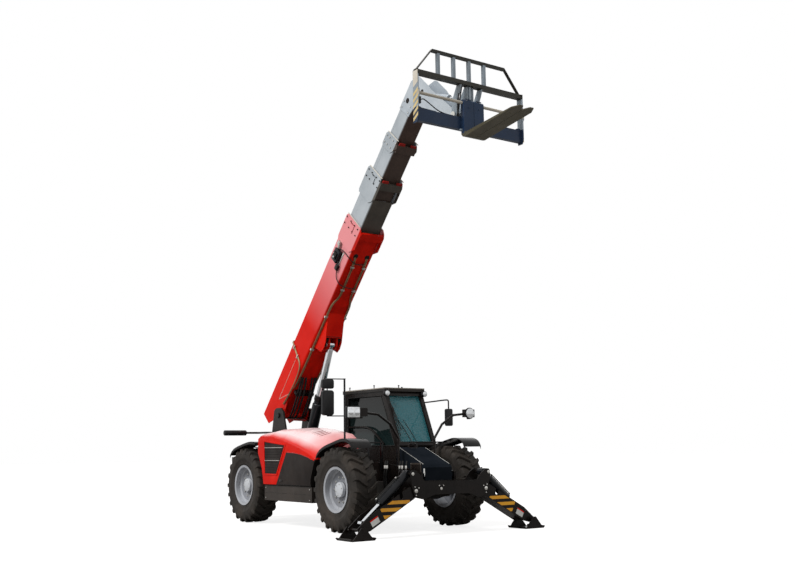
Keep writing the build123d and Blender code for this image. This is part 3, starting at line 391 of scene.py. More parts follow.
creamPaint = paint("creamPaint", (0.62, 0.56, 0.46), (0.72, 0.67, 0.58), (0.35, 0.5), dust=(soil, 0.2))
rimPaint = paint("rimPaint", (0.33, 0.345, 0.375), (0.44, 0.455, 0.485), (0.30, 0.42), metal=0.1,
                 dust=((0.22, 0.19, 0.16), 0.35))
chromeRod = paint("chromeRod", (0.62, 0.64, 0.66), (0.72, 0.74, 0.76), (0.08, 0.16), metal=1.0, bump=0.01)
zincPlate = paint("zincPlate", (0.50, 0.49, 0.46), (0.66, 0.65, 0.61), (0.25, 0.4), metal=0.85, grain=120.0)
castIron = paint("castIron", (0.050, 0.046, 0.042), (0.085, 0.078, 0.072), (0.5, 0.7), metal=0.3, bump=0.25)
rubberHose = paint("rubberHose", (0.010, 0.010, 0.010), (0.020, 0.019, 0.018), (0.45, 0.6), grain=200.0,
                   bump=0.1, shine=0.2)
darkPlastic = paint("darkPlastic", (0.012, 0.012, 0.013), (0.022, 0.022, 0.023), (0.38, 0.5), grain=500.0,
                    bump=0.12, shine=0.2)
palePlastic = paint("palePlastic", (0.62, 0.62, 0.59), (0.74, 0.74, 0.71), (0.3, 0.4))
yellowPaint = paint("yellowPaint", (0.78, 0.33, 0.012), (0.88, 0.42, 0.020), (0.35, 0.5), dust=(soil, 0.3))
fadedYellow = paint("fadedYellow", (0.66, 0.50, 0.22), (0.76, 0.60, 0.30), (0.4, 0.55), dust=(soil, 0.2))
brassTube = paint("brassTube", (0.26, 0.17, 0.09), (0.38, 0.27, 0.15), (0.3, 0.45), metal=0.6,
                  dust=(soil, 0.3))
lensClear = paint("lensClear", (0.70, 0.73, 0.75), (0.95, 0.96, 0.97), (0.06, 0.12), metal=0.35,
                  coating=1.0, scale=28.0, grain=150.0, bump=0.2)
seatPlastic = paint("seatPlastic", (0.012, 0.012, 0.013), (0.02, 0.02, 0.021), (0.5, 0.6), grain=400.0,
                    bump=0.1)


def tyreRubber():
    finish, tree, shader = freshFinish("tyreRubber")
    colour = ramp(tree, mottle(tree, 4.0, 6.0), (0.020, 0.017, 0.0145), (0.036, 0.031, 0.027))
    film = spread(tree, mottle(tree, 2.4, 9.0, 0.7), 0.0, 0.55, 0.48, 0.75)
    colour = mixed(tree, film, colour, (0.075, 0.057, 0.043))
    surface(tree, shader, colour, (0.6, 0.82), 0.2, (70.0, 0.3, 0.003), (14.0, 6.0))
    return finish


def tintedGlass():
    # green glass in front, and beside the boom a near black, nearly opaque pane whose darkness is painted
    # shade of the cab behind it, lighter towards the bottom
    finish, tree, shader = freshFinish("tintedGlass")
    colour = ramp(tree, mottle(tree, 0.8, 1.0), (0.030, 0.155, 0.185), (0.060, 0.24, 0.27), 0.2, 0.8)
    y, z = placeOn(tree)[1:]
    flank = spread(tree, y, 1.0, 0.0, 0.392, 0.398)
    lower = spread(tree, z, 1.0, 0.0, 1.30, 1.95)
    sidePaneShade = mixed(tree, lower, (0.004, 0.005, 0.005), (0.010, 0.020, 0.020))
    surface(tree, shader, mixed(tree, flank, colour, sidePaneShade), (0.02, 0.05), 0.25, patches=(6.0, 5.0))
    link(tree, spread(tree, flank, 0.66, 0.975, 0.0, 1.0), shader.inputs["Alpha"])
    finish.surface_render_method = "BLENDED"
    return finish


def zoned(name, zones, last, rough=(0.3, 0.45), dust=0.2):
    # colour by place on the piece: each zone is its limits, as (axis, low, high), and its colour, and
    # where zones meet the later one wins
    finish, tree, shader = freshFinish(name)
    place = dict(zip("XYZ", placeOn(tree)))
    blotch = mottle(tree, 3.5, 5.0)
    colour = ramp(tree, blotch, tuple(c * 0.8 for c in last), last)
    for limits, tone in zones:
        inside = None
        for axis, low, high in limits:
            for sign, edge in (("GREATER_THAN", low), ("LESS_THAN", high)):
                test = sums(tree, sign, place[axis], edge)
                inside = test if inside is None else sums(tree, "MULTIPLY", inside, test)
        colour = mixed(tree, inside, colour, ramp(tree, blotch, tuple(c * 0.8 for c in tone), tone))
    film = spread(tree, mottle(tree, 1.9, 8.0, 0.7), 0.0, dust, 0.5, 0.72)
    surface(tree, shader, mixed(tree, film, colour, soil), rough, 0.2, (60.0, 0.06))
    return finish


def wovenCloth():
    finish, tree, shader = freshFinish("seatCloth")
    coords = tree.nodes.new("ShaderNodeTexCoord")
    weave = tree.nodes.new("ShaderNodeTexWave")
    weave.inputs["Scale"].default_value = 260.0
    weave.inputs["Distortion"].default_value = 0.6
    link(tree, coords.outputs["Object"], weave.inputs["Vector"])
    colour = ramp(tree, weave.outputs["Fac"], (0.012, 0.012, 0.014), (0.040, 0.040, 0.045), 0.3, 0.8)
    worn = spread(tree, mottle(tree, 6.0), 0.0, 0.35)
    link(tree, mixed(tree, worn, colour, (0.055, 0.052, 0.05)), shader.inputs["Base Color"])
    shader.inputs["Roughness"].default_value = 0.9
    shader.inputs["Sheen Weight"].default_value = 0.3
    bumped(tree, shader, weave.outputs["Fac"], 0.35)
    return finish


def boomFinish(name, tones, side, under, greaseAndShadeTone, paintedSheen=None, shine=0.2):
    # colour by place across the boom: a darker underside of grease film and painted shade, and, where a
    # painted sheen is given, flanks with a pale painted highlight that grows towards the mouth
    finish, tree, shader = freshFinish(name)
    coords = tree.nodes.new("ShaderNodeTexCoord")

    def along(way, offset, start, end):
        dot = tree.nodes.new("ShaderNodeVectorMath")
        dot.operation = "DOT_PRODUCT"
        dot.inputs[1].default_value = way
        link(tree, coords.outputs["Object"], dot.inputs[0])
        return spread(tree, dot.outputs["Value"], 0.0, 1.0, start + offset, end + offset)

    colour = ramp(tree, mottle(tree, 1.6, 5.0), *tones)
    if paintedSheen:
        flank = spread(tree, sums(tree, "ABSOLUTE", placeOn(tree)[1]), 0.0, 1.0, side - 0.012, side - 0.002)
        reach = along((0.67559, 0, 0.73728), -0.4748, paintedSheen["start"], paintedSheen["end"])
        part = sums(tree, "MULTIPLY", sums(tree, "MULTIPLY", flank, reach), paintedSheen["share"])
        colour = mixed(tree, part, colour, paintedSheen["tone"])
    # the underside is darker: partly grease film, partly painted shade
    below = along((0.73728, 0, -0.67559), -3.63396, under - 0.030, under - 0.006)
    greaseAndShade = ramp(tree, mottle(tree, 5.0, 6.0), tuple(c * 0.7 for c in greaseAndShadeTone), greaseAndShadeTone)
    surface(tree, shader, mixed(tree, below, colour, greaseAndShade), (0.28, 0.4), shine, (60.0, 0.05))
    return finish


def hoodColours():
    # red at the rim, a pale pink painted highlight over the crown that turns redder towards the front, black
    # below the panel line
    finish, tree, shader = freshFinish("hoodColours")
    x, y, z = placeOn(tree)
    paintedHighlight = ramp(tree, mottle(tree, 1.2, 2.0), (0.90, 0.58, 0.58), (0.95, 0.76, 0.76), 0.3, 0.7)
    rim = ramp(tree, mottle(tree, 3.0), *red)
    highlightedCrown = mixed(tree, spread(tree, x, 0.0, 0.7, -0.55, 0.0), paintedHighlight, (0.76, 0.10, 0.095))
    highlightedCrown = mixed(tree, spread(tree, x, 1.0, 0.0, -1.93, -1.84), highlightedCrown, rim)
    highlightedCrown = mixed(tree, spread(tree, z, 1.0, 0.0, 1.10, 1.27), highlightedCrown, rim)
    colour = mixed(tree, spread(tree, y, 0.0, 1.0, -1.075, -1.150), highlightedCrown, rim)
    dark = (0.012, 0.010, 0.009)
    colour = mixed(tree, spread(tree, z, 1.0, 0.0, 0.700, 0.702), colour, dark)
    front = sums(tree, "MULTIPLY", spread(tree, x, 0.0, 1.0, -0.602, -0.600),
                 spread(tree, z, 1.0, 0.0, 1.050, 1.052))
    surface(tree, shader, mixed(tree, front, colour, dark), (0.2, 0.3), 0.25, (60.0, 0.04))
    return finish


rubber = tyreRubber()
glass = tintedGlass()
seatCloth = wovenCloth()
hoodFinish = hoodColours()
navy, hubTone, dishShadeTone = (0.019, 0.039, 0.085), (0.62, 0.64, 0.67), (0.25, 0.26, 0.285)
carriagePaint = zoned("carriagePaint", [
    ([("Z", 5.60, 5.925)], navy),
    ([("Z", 6.40, 6.60)], (0.036, 0.035, 0.027)),
    ([("X", 2.38, 2.44), ("Z", 6.09, 6.16)], (0.60, 0.55, 0.46)),
], (0.36, 0.42, 0.47))
guardPaint = zoned("guardPaint", [([("Z", 6.480, 6.802), ("Y", -0.62, 0.31)], (0.34, 0.40, 0.45))],
                   (0.030, 0.029, 0.022))
forkPaint = zoned("forkPaint", [([("X", 2.30, 2.447), ("Z", 5.665, 6.3)], (0.020, 0.042, 0.092))],
                  (0.095, 0.084, 0.053), rough=(0.32, 0.5), dust=0.45)
hubPaint = zoned("hubPaint", [([("Y", -1.30, -1.06)], hubTone), ([("Y", 1.06, 1.30)], hubTone)],
                 (0.060, 0.055, 0.050))
# the recessed dish of each rim is darker than its flange: painted shade
rimFinish = zoned("rimFinish", [([("Y", 1.000, 1.075)], dishShadeTone), ([("Y", -1.075, -1.000)], dishShadeTone)],
                  (0.44, 0.455, 0.485), dust=0.3)
# black roof with a pale strip along its edge: a painted highlight
roofPaintAndEdgeHighlight = zoned("roofPaintAndEdgeHighlight", [([("Z", 2.176, 2.1885)], (0.42, 0.38, 0.32))], (0.020, 0.018, 0.016))

# pale pink over the outer section's flanks, growing towards the mouth: a painted highlight
outerPaintedSheen = {"tone": (0.86, 0.36, 0.38), "start": 1.65, "end": 3.2, "share": 0.85}
greyTones = ((0.36, 0.40, 0.43), (0.48, 0.52, 0.55))
# the fifth value of each is its darker underside tone: grease film and painted shade
outerFinish = boomFinish("outerFinish", red, 0.220, 0.280, darkRed, outerPaintedSheen, shine=0.05)
secondFinish = boomFinish("secondFinish", greyTones, 0.200, 0.230, (0.088, 0.077, 0.064))
thirdFinish = boomFinish("thirdFinish", greyTones, 0.1825, 0.1925, (0.082, 0.055, 0.044))
fourthFinish = boomFinish("fourthFinish", greyTones, 0.1625, 0.155, (0.086, 0.052, 0.041))

nodeFinish = {   # by the start of the node's name, and black paint on the rest
    "front_axle": castIron, "rear_axle": castIron, "fenders": fenderBlack, "engine_tray": skirtGrey,
    "engine": castIron, "hood": redPaint, "cab_roof": roofPaintAndEdgeHighlight, "cab_glass": glass, "seat": seatCloth,
    "helm": darkPlastic, "door_glass": glass, "nose_cover": noseBlack, "mirror_arms": darkPlastic,
    "boom_outer": outerFinish, "boom_second": secondFinish, "boom_third": thirdFinish,
    "boom_fourth": fourthFinish, "head": headGrey, "carriage": carriagePaint, "guard": guardPaint,
    "fork_": forkPaint, "lift_barrel": glossBlack, "lift_rod": chromeRod, "tilt_barrel": headGrey,
    "tilt_rod": chromeRod, "stab_barrel": glossBlack, "stab_rod": chromeRod, "knuckle": hubPaint,
    "tyre": rubber, "rim": rimFinish,
}
for name, node in nodes.items():
    fits = [finish for start, finish in nodeFinish.items() if name.startswith(start)]
    node.data.materials.clear()
    node.data.materials.append(fits[0] if fits else blackPaint)
print("finishes on the frame")


bothSides = (("right", -1), ("left", 1))
tyre = {"radius": 0.6195, "lugs": 22, "steps": 88}
tyreSide = [   # radius and place along the axle, from the bead to the middle of the tread
    (0.313, -0.148), (0.340, -0.166), (0.356, -0.170), (0.362, -0.176), (0.372, -0.176), (0.380, -0.178),
    (0.430, -0.190), (0.436, -0.194), (0.448, -0.195), (0.500, -0.197), (0.545, -0.192), (0.572, -0.174),
    (0.583, -0.120), (0.586, -0.050),
]
lugSteps = (   # how far the lug's end is drawn on each time, and how much it grows
    ((-0.044, 0.055, 0.0), (1.0, 1, 1)), ((-0.036, 0.050, -0.002), (1.05, 1, 1)),
    ((-0.010, 0.030, -0.012), (1.12, 1, 1.0)), ((-0.002, 0.013, -0.044), (1.05, 1, 0.9)),
)


def treadLug():
    # starts at the middle of the tread and is drawn out to the shoulder, then down the side
    lug = block(rubber, (0.062, 0.004, 0.570), (0.122, 0.050, tyre["radius"] - 0.001), soft=0)
    chooseFaces(lug, lambda c, n: n.z > 0.9)
    bpy.ops.transform.resize(value=(0.74, 1, 1), center_override=(0.092, 0.027, 0.6))
    chooseFaces(lug, lambda c, n: n.y > 0.9)
    bpy.ops.transform.translate(value=(-0.016, 0, 0))
    for move, size in lugSteps:
        bpy.ops.mesh.extrude_region_move(TRANSFORM_OT_translate={"value": move})
        bpy.ops.transform.resize(value=size)
    letGo()
    for point in lug.data.vertices:   # down onto the tyre's circle
        point.co.z -= tyre["radius"] - math.sqrt(tyre["radius"] ** 2 - point.co.x ** 2)
    return lug


def makeTyre():
    profile = tyreSide + [(r, -a) for r, a in reversed(tyreSide)]
    parts = [ringOf(rubber, (0, 0, 0), (0, 1, 0), profile, tyre["steps"])]
    lug = treadLug()
    other = copyOf(lug, Matrix.Scale(-1, 4, (0, 1, 0)))
    pitch = math.tau / tyre["lugs"]
    for index in range(tyre["lugs"]):
        parts.append(copyOf(lug, Matrix.Rotation(index * pitch, 4, "Y")))
        parts.append(copyOf(other, Matrix.Rotation((index + 0.5) * pitch, 4, "Y")))
    bpy.data.objects.remove(lug)
    bpy.data.objects.remove(other)
    pickAll(parts)
    bpy.ops.object.join()
    return bpy.context.object


wheelNuts = {"count": 10, "ring": 0.185, "face": 0.060, "valve": 0.262}
hubCap = {"face": 0.110, "radius": 0.108, "bolts": 6, "ring": 0.082, "turn": 0.3}
masterTyre = makeTyre()
for end in ("front", "rear"):
    for side, sign in bothSides:
        low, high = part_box(f"tyre_{end}_{side}")
        centre, out = (low + high) / 2, Vector((0, sign, 0))
        wheel = f"wheel_{end}_{side}"
        joined(f"treaded_tyre_{end}_{side}", [copyOf(masterTyre, Matrix.Translation(centre))], wheel,
               40, [f"tyre_{end}_{side}"])
        face = centre + out * wheelNuts["face"]
        nuts = []
        for index in range(wheelNuts["count"]):
            spot = onCircle(face, wheelNuts["ring"], index * math.tau / wheelNuts["count"])
            nuts.append(stud(rimPaint, spot, out, 0.006, 0.022, 16, 0.002))
            nuts.append(stud(zincPlate, spot, out, 0.024, 0.0145, 6, 0.002))
        nuts.append(stud(rubberHose, face + Vector((0, 0, wheelNuts["valve"])), out, 0.05, 0.006, 10))
        joined(f"wheel_nuts_{end}_{side}", nuts, wheel)
        face = centre + out * hubCap["face"]
        cap = [stud(hubPaint, face, out, 0.008, hubCap["radius"], 40, 0.004)]
        for index in range(hubCap["bolts"]):
            spot = onCircle(face, hubCap["ring"], index * math.tau / hubCap["bolts"] + hubCap["turn"])
            cap.append(stud(zincPlate, spot, out, 0.015, 0.0075))
        joined(f"hub_cap_{end}_{side}", cap, f"knuckle_{end}_{side}")
bpy.data.objects.remove(masterTyre)
print("wheels done")


hood = {"side": -1.164, "wall": 0.010, "edge": 0.007, "rear": [(-1.743, .650), (-1.805, .90)],
        "front": [(-0.12, 1.00), (-0.17, .90), (-0.22, .76), (-0.225, .650)]}
hoodLines = [   # y, then the run over the top between the rear foot and the front foot
    (-1.164, [(-1.895, 1.07), (-1.950, 1.15), (-1.952, 1.385), (-1.86, 1.430), (-1.50, 1.424), (-1.12, 1.360),
              (-0.70, 1.266), (-0.304, 1.156), (-0.10, 1.062), (-0.095, 1.045)]),
    (-1.080, [(-1.898, 1.07), (-1.955, 1.15), (-1.958, 1.415), (-1.86, 1.468), (-1.50, 1.492), (-1.12, 1.458),
              (-0.70, 1.385), (-0.304, 1.285), (-0.055, 1.175), (-0.06, 1.10)]),
    (-0.920, [(-1.90, 1.07), (-1.955, 1.15), (-1.960, 1.432), (-1.86, 1.492), (-1.50, 1.530), (-1.12, 1.522),
              (-0.70, 1.468), (-0.25, 1.380), (-0.035, 1.265), (-0.03, 1.140)]),
    (-0.700, [(-1.90, 1.07), (-1.955, 1.15), (-1.960, 1.440), (-1.86, 1.500), (-1.50, 1.541), (-1.12, 1.548),
              (-0.70, 1.510), (-0.20, 1.430), (-0.032, 1.325), (-0.022, 1.155)]),
    (-0.420, [(-1.90, 1.07), (-1.955, 1.15), (-1.960, 1.440), (-1.86, 1.500), (-1.50, 1.543), (-1.12, 1.551),
              (-0.70, 1.514), (-0.20, 1.434), (-0.032, 1.335), (-0.022, 1.155)]),
]


def makeHoodShell():
    lines = []
    for y, crown in hoodLines:
        lines.append(wire([(x, y, z) for x, z in hood["rear"] + crown + hood["front"]]))
    pickAll(lines)
    bpy.ops.object.join()
    shell = bpy.context.object
    editAll(shell)
    bpy.ops.mesh.select_mode(type="EDGE")
    bpy.ops.mesh.select_all(action="SELECT")
    bpy.ops.mesh.bridge_edge_loops()
    bpy.ops.mesh.select_all(action="DESELECT")
    bpy.ops.object.mode_set(mode="OBJECT")
    for point in shell.data.vertices:
        point.select = point.co.y < hood["side"] + 0.004
    bpy.ops.object.mode_set(mode="EDIT")
    bpy.ops.mesh.select_mode(type="VERT")
    bpy.ops.mesh.edge_face_add()
    bpy.ops.mesh.select_all(action="SELECT")
    bpy.ops.mesh.normals_make_consistent(inside=False)
    letGo()
    applied(shell, "SOLIDIFY", thickness=hood["wall"], offset=-1)
    applied(shell, "BEVEL", width=hood["edge"], segments=3, limit_method="ANGLE",
            angle_limit=math.radians(32))
    return coat(shell, hoodFinish)


hinge = {"y": -0.405, "z": 1.452, "half": 0.036, "radius": 0.014, "leaf": (-0.446, -0.424)}
shellParts = [makeHoodShell()]
# the hinge leaves carry the crown's pale pink painted highlight
for x, top in ((-1.42, 1.540), (-0.52, 1.478)):
    left, right = x - hinge["half"], x + hinge["half"]
    inner, outer = hinge["leaf"]
    shellParts.append(block(paintedHighlightPink, (left, inner, hinge["z"] - 0.008), (right, outer, top), 0.003))
    shellParts.append(rod(blackPaint, (left, hinge["y"], hinge["z"]), (right, hinge["y"], hinge["z"]),
                          hinge["radius"], 20, 0.002))
joined("hood_shell", shellParts, "hood", 30, ["hood"])

onSide = (0, hood["side"], 0)
grille = {"slats": 11, "first": 0.850, "pitch": 0.041, "depth": 0.022,
          "opening": [(-1.722, 1.335), (-1.040, 1.272), (-1.303, 0.822), (-1.690, 0.826)],
          "rim": [(-1.752, 1.362), (-0.995, 1.292), (-1.284, 0.796), (-1.716, 0.800)]}
grilleParts = [
    plate(redPaint, grille["rim"], 0.010, onSide, soft=0.003, holes=[grille["opening"]]),
    plate(mattBlack, grille["opening"], 0.002, onSide),
]


def grilleWidth(z):
    # left and right end of a slat at a height of the opening
    up = (z - 0.824) / (1.300 - 0.824)
    return -1.682 - 0.030 * up, -1.313 + 0.245 * up


for index in range(grille["slats"]):
    z = grille["first"] + index * grille["pitch"]
    left, right = grilleWidth(z)
    slat = block(mattBlack, (left, -1.172, z), (right, -1.1655, z + grille["depth"]), 0.002, 1)
    chooseFaces(slat, lambda c, n: n.y < -0.9)
    bpy.ops.transform.translate(value=(0, 0, -0.008))
    letGo()
    grilleParts.append(slat)
for z in (1.030, 1.235):
    left, right = grilleWidth(z)
    grilleParts.append(block(zincPlate, (left, -1.1745, z), (right, -1.168, z + 0.009), 0.001, 1))
joined("hood_grille", grilleParts, "hood")

sidePanel = [
    (-0.985, 1.160), (-0.74, 1.150), (-0.523, 1.126), (-0.300, 1.080), (-0.118, 1.020), (-0.150, 0.93),
    (-0.222, 0.76), (-0.228, 0.662), (-1.305, 0.662),
]
panelParts = [
    plate(mattBlack, sidePanel, 0.005, onSide, soft=0.0015),
    block(blackPaint, (-1.20, -1.173, 0.700), (-1.09, -1.167, 0.735), 0.003),   # catch plate
]
joined("hood_side_panel", panelParts, "hood")
sideBand = [
    (-1.745, 0.655), (-1.806, 0.90), (-1.893, 1.07), (-1.946, 1.15), (-1.946, 1.375), (-1.858, 1.418),
    (-1.50, 1.412), (-1.12, 1.348), (-0.70, 1.254), (-0.304, 1.144), (-0.112, 1.056), (-0.122, 1.032),
    (-0.300, 1.090), (-0.523, 1.136), (-0.74, 1.160), (-0.972, 1.170), (-0.985, 1.158), (-1.312, 0.655),
]
band = plate(redPaint, sideBand, 0.003, onSide, soft=0.001, holes=[grille["opening"]])
joined("hood_side_band", [band], "hood")

# the vent slots are thin dark red beads on the crown: their darkness is painted shade of the slots
vent = {"count": 4, "first": -0.62, "pitch": 0.08, "radius": 0.005}
vents = []
for index in range(vent["count"]):
    x = vent["first"] + index * vent["pitch"]
    ends = [(x, -0.915, 1.451 - index * 0.0157), (x, -0.705, 1.4965 - index * 0.0128)]
    vents.append(pipe(deepRed, ends, vent["radius"], bent=False))
joined("hood_vents", vents, "hood")

skirt = {"face": -1.140, "ends": (-1.700, -0.290), "levels": (0.600, 0.440)}
skirtParts = []
for x in skirt["ends"]:
    for z in skirt["levels"]:
        skirtParts.append(stud(zincPlate, (x, skirt["face"], z), (0, -1, 0), 0.007, 0.011))
skirtParts.append(block(blackPaint, (-1.72, -1.1415, 0.520), (-0.26, -1.139, 0.524), 0.0005, 1))
joined("skirt_bolts", skirtParts, "body")
print("hood done")


fender = {"inner": 0.850, "outer": 1.195, "sheet": 0.008, "lip": 0.045, "rear": -2.460, "front": 0.490}
fenderRuns = {   # over each wheel, measured from the fender's place along the body
    "front": [(-0.520, 1.085), (-0.500, 1.135), (-0.400, 1.205), (-0.250, 1.262), (-0.060, 1.302),
              (0.100, 1.338), (0.240, 1.362), (0.370, 1.345), (0.470, 1.285), (0.490, 1.225)],
    "rear": [(-0.480, 1.120), (-0.450, 1.165), (-0.360, 1.222), (-0.230, 1.262), (-0.110, 1.286),
             (0.060, 1.318), (0.220, 1.342), (0.360, 1.345), (0.450, 1.330)],
}
fenderStays = (   # along, across and up
    ((-2.750, -2.690), (0.3165, 0.910), (1.240, 1.256)),
    ((0.430, 0.490), (0.3165, 0.910), (1.284, 1.304)),
    ((0.430, 0.490), (0.3165, 0.3365), (0.880, 1.300)),
)


def smoothRun(points):
    # the run through its points as one even curve, read back from a spline
    line = pipe(fenderBlack, [(x, 0, z) for x, z in points], 0.0, rounds=0)
    run = [(point.co.x, point.co.z) for point in line.data.vertices]
    bpy.data.objects.remove(line)
    return run


fenderParts = []
for end, points in fenderRuns.items():
    run = smoothRun([(x + fender[end], z) for x, z in points])
    sheet = run + [(x, z - fender["sheet"]) for x, z in reversed(run)]
    lip = run + [(x, z - fender["lip"]) for x, z in reversed(run)]
    width = fender["outer"] - fender["inner"]
    for y in (-fender["inner"], fender["outer"]):
        fenderParts.append(plate(fenderBlack, sheet, width, (0, y, 0), soft=0.002))
    for y in (-fender["outer"] + fender["sheet"], fender["outer"]):
        fenderParts.append(plate(fenderBlack, lip, fender["sheet"], (0, y, 0), soft=0.002))
for sign in (-1, 1):
    for (x0, x1), across, (z0, z1) in fenderStays:
        y0, y1 = sorted(sign * y for y in across)
        fenderParts.append(block(fenderBlack, (x0, y0, z0), (x1, y1, z1), 0.003))
joined("curved_fenders", fenderParts, "body", 40, ["fenders"])
print("fenders done")


boom = {"datum": Vector((-3.000, 0, 2.105)), "along": Vector((0.67559, 0, 0.73728)),
        "across": Vector((-0.73728, 0, 0.67559))}
boomTurn = Matrix((boom["along"], Vector((0, 1, 0)), boom["across"])).transposed().to_4x4()
boomPlace = Matrix.Translation(boom["datum"]) @ boomTurn


def onBoom(s, y, n):
    # s runs along the boom from its foot and n square to it, upwards
    return boom["datum"] + boom["along"] * s + boom["across"] * n + Vector((0, y, 0))


def boomBlock(finish, s0, s1, y0, y1, n0, n1, soft=0.003, steps=2):
    piece = block(finish, (s0, y0, n0), (s1, y1, n1), soft, steps)
    piece.data.transform(boomPlace)
    return piece


def boomPlate(finish, outline, thick, y, soft=0.0):
    piece = plate(finish, outline, thick, (0, y, 0), soft=soft)
    piece.data.transform(boomPlace)
    return piece


def boomPipe(finish, places, radius, bent=True):
    return pipe(finish, [onBoom(*place) for place in places], radius, bent)


tubing = {"under": -0.303, "radius": 0.0085, "gap": 0.011}
tubeRuns = (   # along and across, from the mouth to the foot
    [(3.300, -0.112), (3.262, -0.112), (3.10, -0.100), (2.56, -0.095), (2.47, -0.108), (2.36, -0.172),
     (2.24, -0.186), (1.60, -0.186), (0.55, -0.186), (0.45, -0.186)],
    [(3.300, 0.112), (3.262, 0.112), (3.10, 0.120), (2.56, 0.116), (2.47, 0.126), (2.36, 0.170),
     (2.24, 0.182), (1.60, 0.182), (0.55, 0.182), (0.45, 0.182)],
)
under = tubing["under"]
levels = [-0.262] + [under] * 8 + [-0.26]
tubes = []
for run in tubeRuns:
    for shift in (-tubing["gap"], tubing["gap"]):
        places = [(s, y + shift, n) for (s, y), n in zip(run, levels)]
        tubes.append(boomPipe(brassTube, places, tubing["radius"]))
    for s, beside in ((3.08, 2), (2.62, 2), (2.05, 6), (1.35, 6)):   # clips, each beside a point of the run
        y = run[beside][1]
        tubes.append(boomBlock(zincPlate, s, s + 0.035, y - 0.032, y + 0.032, under - 0.013, -0.281))
    y = run[0][1]
    tubes.append(rod(mattBlack, onBoom(3.305, y, -0.2795), onBoom(3.305, y, -0.2835), 0.046, 28, 0.001))
    for shift in (-tubing["gap"], tubing["gap"]):
        tubes.append(rod(brassTube, onBoom(3.13, y * 0.95 + shift, under), onBoom(3.21, y + shift, under),
                         0.013, 6, 0.001))
joined("boom_tubes", tubes, "boom")

flank = -0.2205   # the boom's right side
valve = [
    boomBlock(glossBlack, 3.00, 3.22, flank - 0.070, flank, -0.06, 0.11, 0.006),
    boomBlock(blackPaint, 3.05, 3.17, flank - 0.095, flank - 0.06, -0.03, 0.08, 0.005),
    boomBlock(blackPaint, 2.90, 2.99, flank - 0.045, flank, -0.13, -0.05, 0.004),
    boomBlock(zincPlate, 3.27, 3.345, flank - 0.055, flank, 0.07, 0.14, 0.006),
    boomBlock(palePlastic, 2.98, 3.24, flank - 0.010, flank + 0.001, -0.10, -0.075, 0.002),
    rod(zincPlate, onBoom(3.23, flank - 0.035, 0.06), onBoom(3.31, flank - 0.035, 0.09), 0.022, 20, 0.003),
    rod(palePlastic, onBoom(3.08, flank - 0.05, 0.02), onBoom(3.08, flank - 0.105, 0.02), 0.017, 16, 0.003),
    rod(zincPlate, onBoom(3.14, flank - 0.05, 0.05), onBoom(3.14, flank - 0.110, 0.05), 0.012, 6, 0.002),
]
for start, end in ((3.02, 2.93), (3.06, 2.90)):
    valve.append(boomPipe(rubberHose, [
        (start, flank - 0.03, -0.05), (start - 0.02, flank - 0.05, -0.14), (end, flank - 0.045, -0.12),
        (end, flank - 0.02, -0.09)], 0.009))
valve.append(boomPipe(rubberHose, [
    (2.92, flank - 0.02, -0.10), (2.84, flank - 0.035, -0.17), (2.78, flank - 0.03, -0.27),
    (2.74, -0.19, -0.325), (2.70, -0.02, -0.335), (2.70, 0.10, -0.33)], 0.008))
valve.append(boomPipe(rubberHose, [
    (3.24, flank - 0.03, 0.02), (3.30, flank - 0.05, -0.12), (3.29, flank - 0.04, -0.27),
    (3.20, -0.14, -0.325), (3.17, -0.02, -0.33), (3.19, 0.09, -0.32)], 0.008))
joined("boom_valve", valve, "boom")

footTubes = []
for shift in (0.0, 0.022):
    footTubes.append(boomPipe(brassTube, [
        (1.09 + shift, -0.12, 0.288), (1.09 + shift, -0.215, 0.290), (1.085 + shift, -0.232, 0.262),
        (1.00 + shift, -0.232, -0.05), (0.96 + shift, -0.232, -0.21), (0.80 + shift, -0.238, -0.27),
        (0.35, -0.256, -0.30 - shift), (0.10, -0.256, -0.24 - shift)], tubing["radius"]))
for s, n in ((1.055, 0.16), (1.0, -0.04)):
    footTubes.append(boomBlock(zincPlate, s - 0.03, s + 0.05, -0.248, -0.2195, n - 0.012, n + 0.012, 0.002))
for seam in ([(0.91, -0.01), (0.02, -0.02)], [(0.02, -0.02), (0.345, -0.255)]):
    footTubes.append(boomPipe(creamPaint, [(s, flank, n) for s, n in seam], 0.0045, bent=False))
joined("foot_tubes", footTubes, "boom")

hoses = []
for y, sag in ((-0.150, 0.00), (-0.118, 0.03), (-0.06, 0.05), (0.06, 0.05), (0.118, 0.03), (0.150, 0.0)):
    hoses.append(boomPipe(rubberHose, [
        (0.75, y, -0.30), (0.55, y, -0.36 - sag), (0.25, y, -0.42 - sag), (0.00, y, -0.46 - sag),
        (-0.12, y, -0.40), (-0.14, y * 0.9, -0.30)], 0.016))
hoses.append(boomBlock(blackPaint, 0.40, 0.46, -0.18, 0.18, -0.395, -0.281, 0.004))
joined("foot_hoses", hoses, "boom")

topHose = [
    boomBlock(blackPaint, 1.96, 2.22, -0.17, 0.02, 0.281, 0.300, 0.004),
    boomPipe(rubberHose, [(1.90, -0.13, 0.285), (2.0, -0.13, 0.335), (2.2, -0.13, 0.335),
                          (2.30, -0.13, 0.285)], 0.014),
]
joined("top_hose_guard", topHose, "boom")

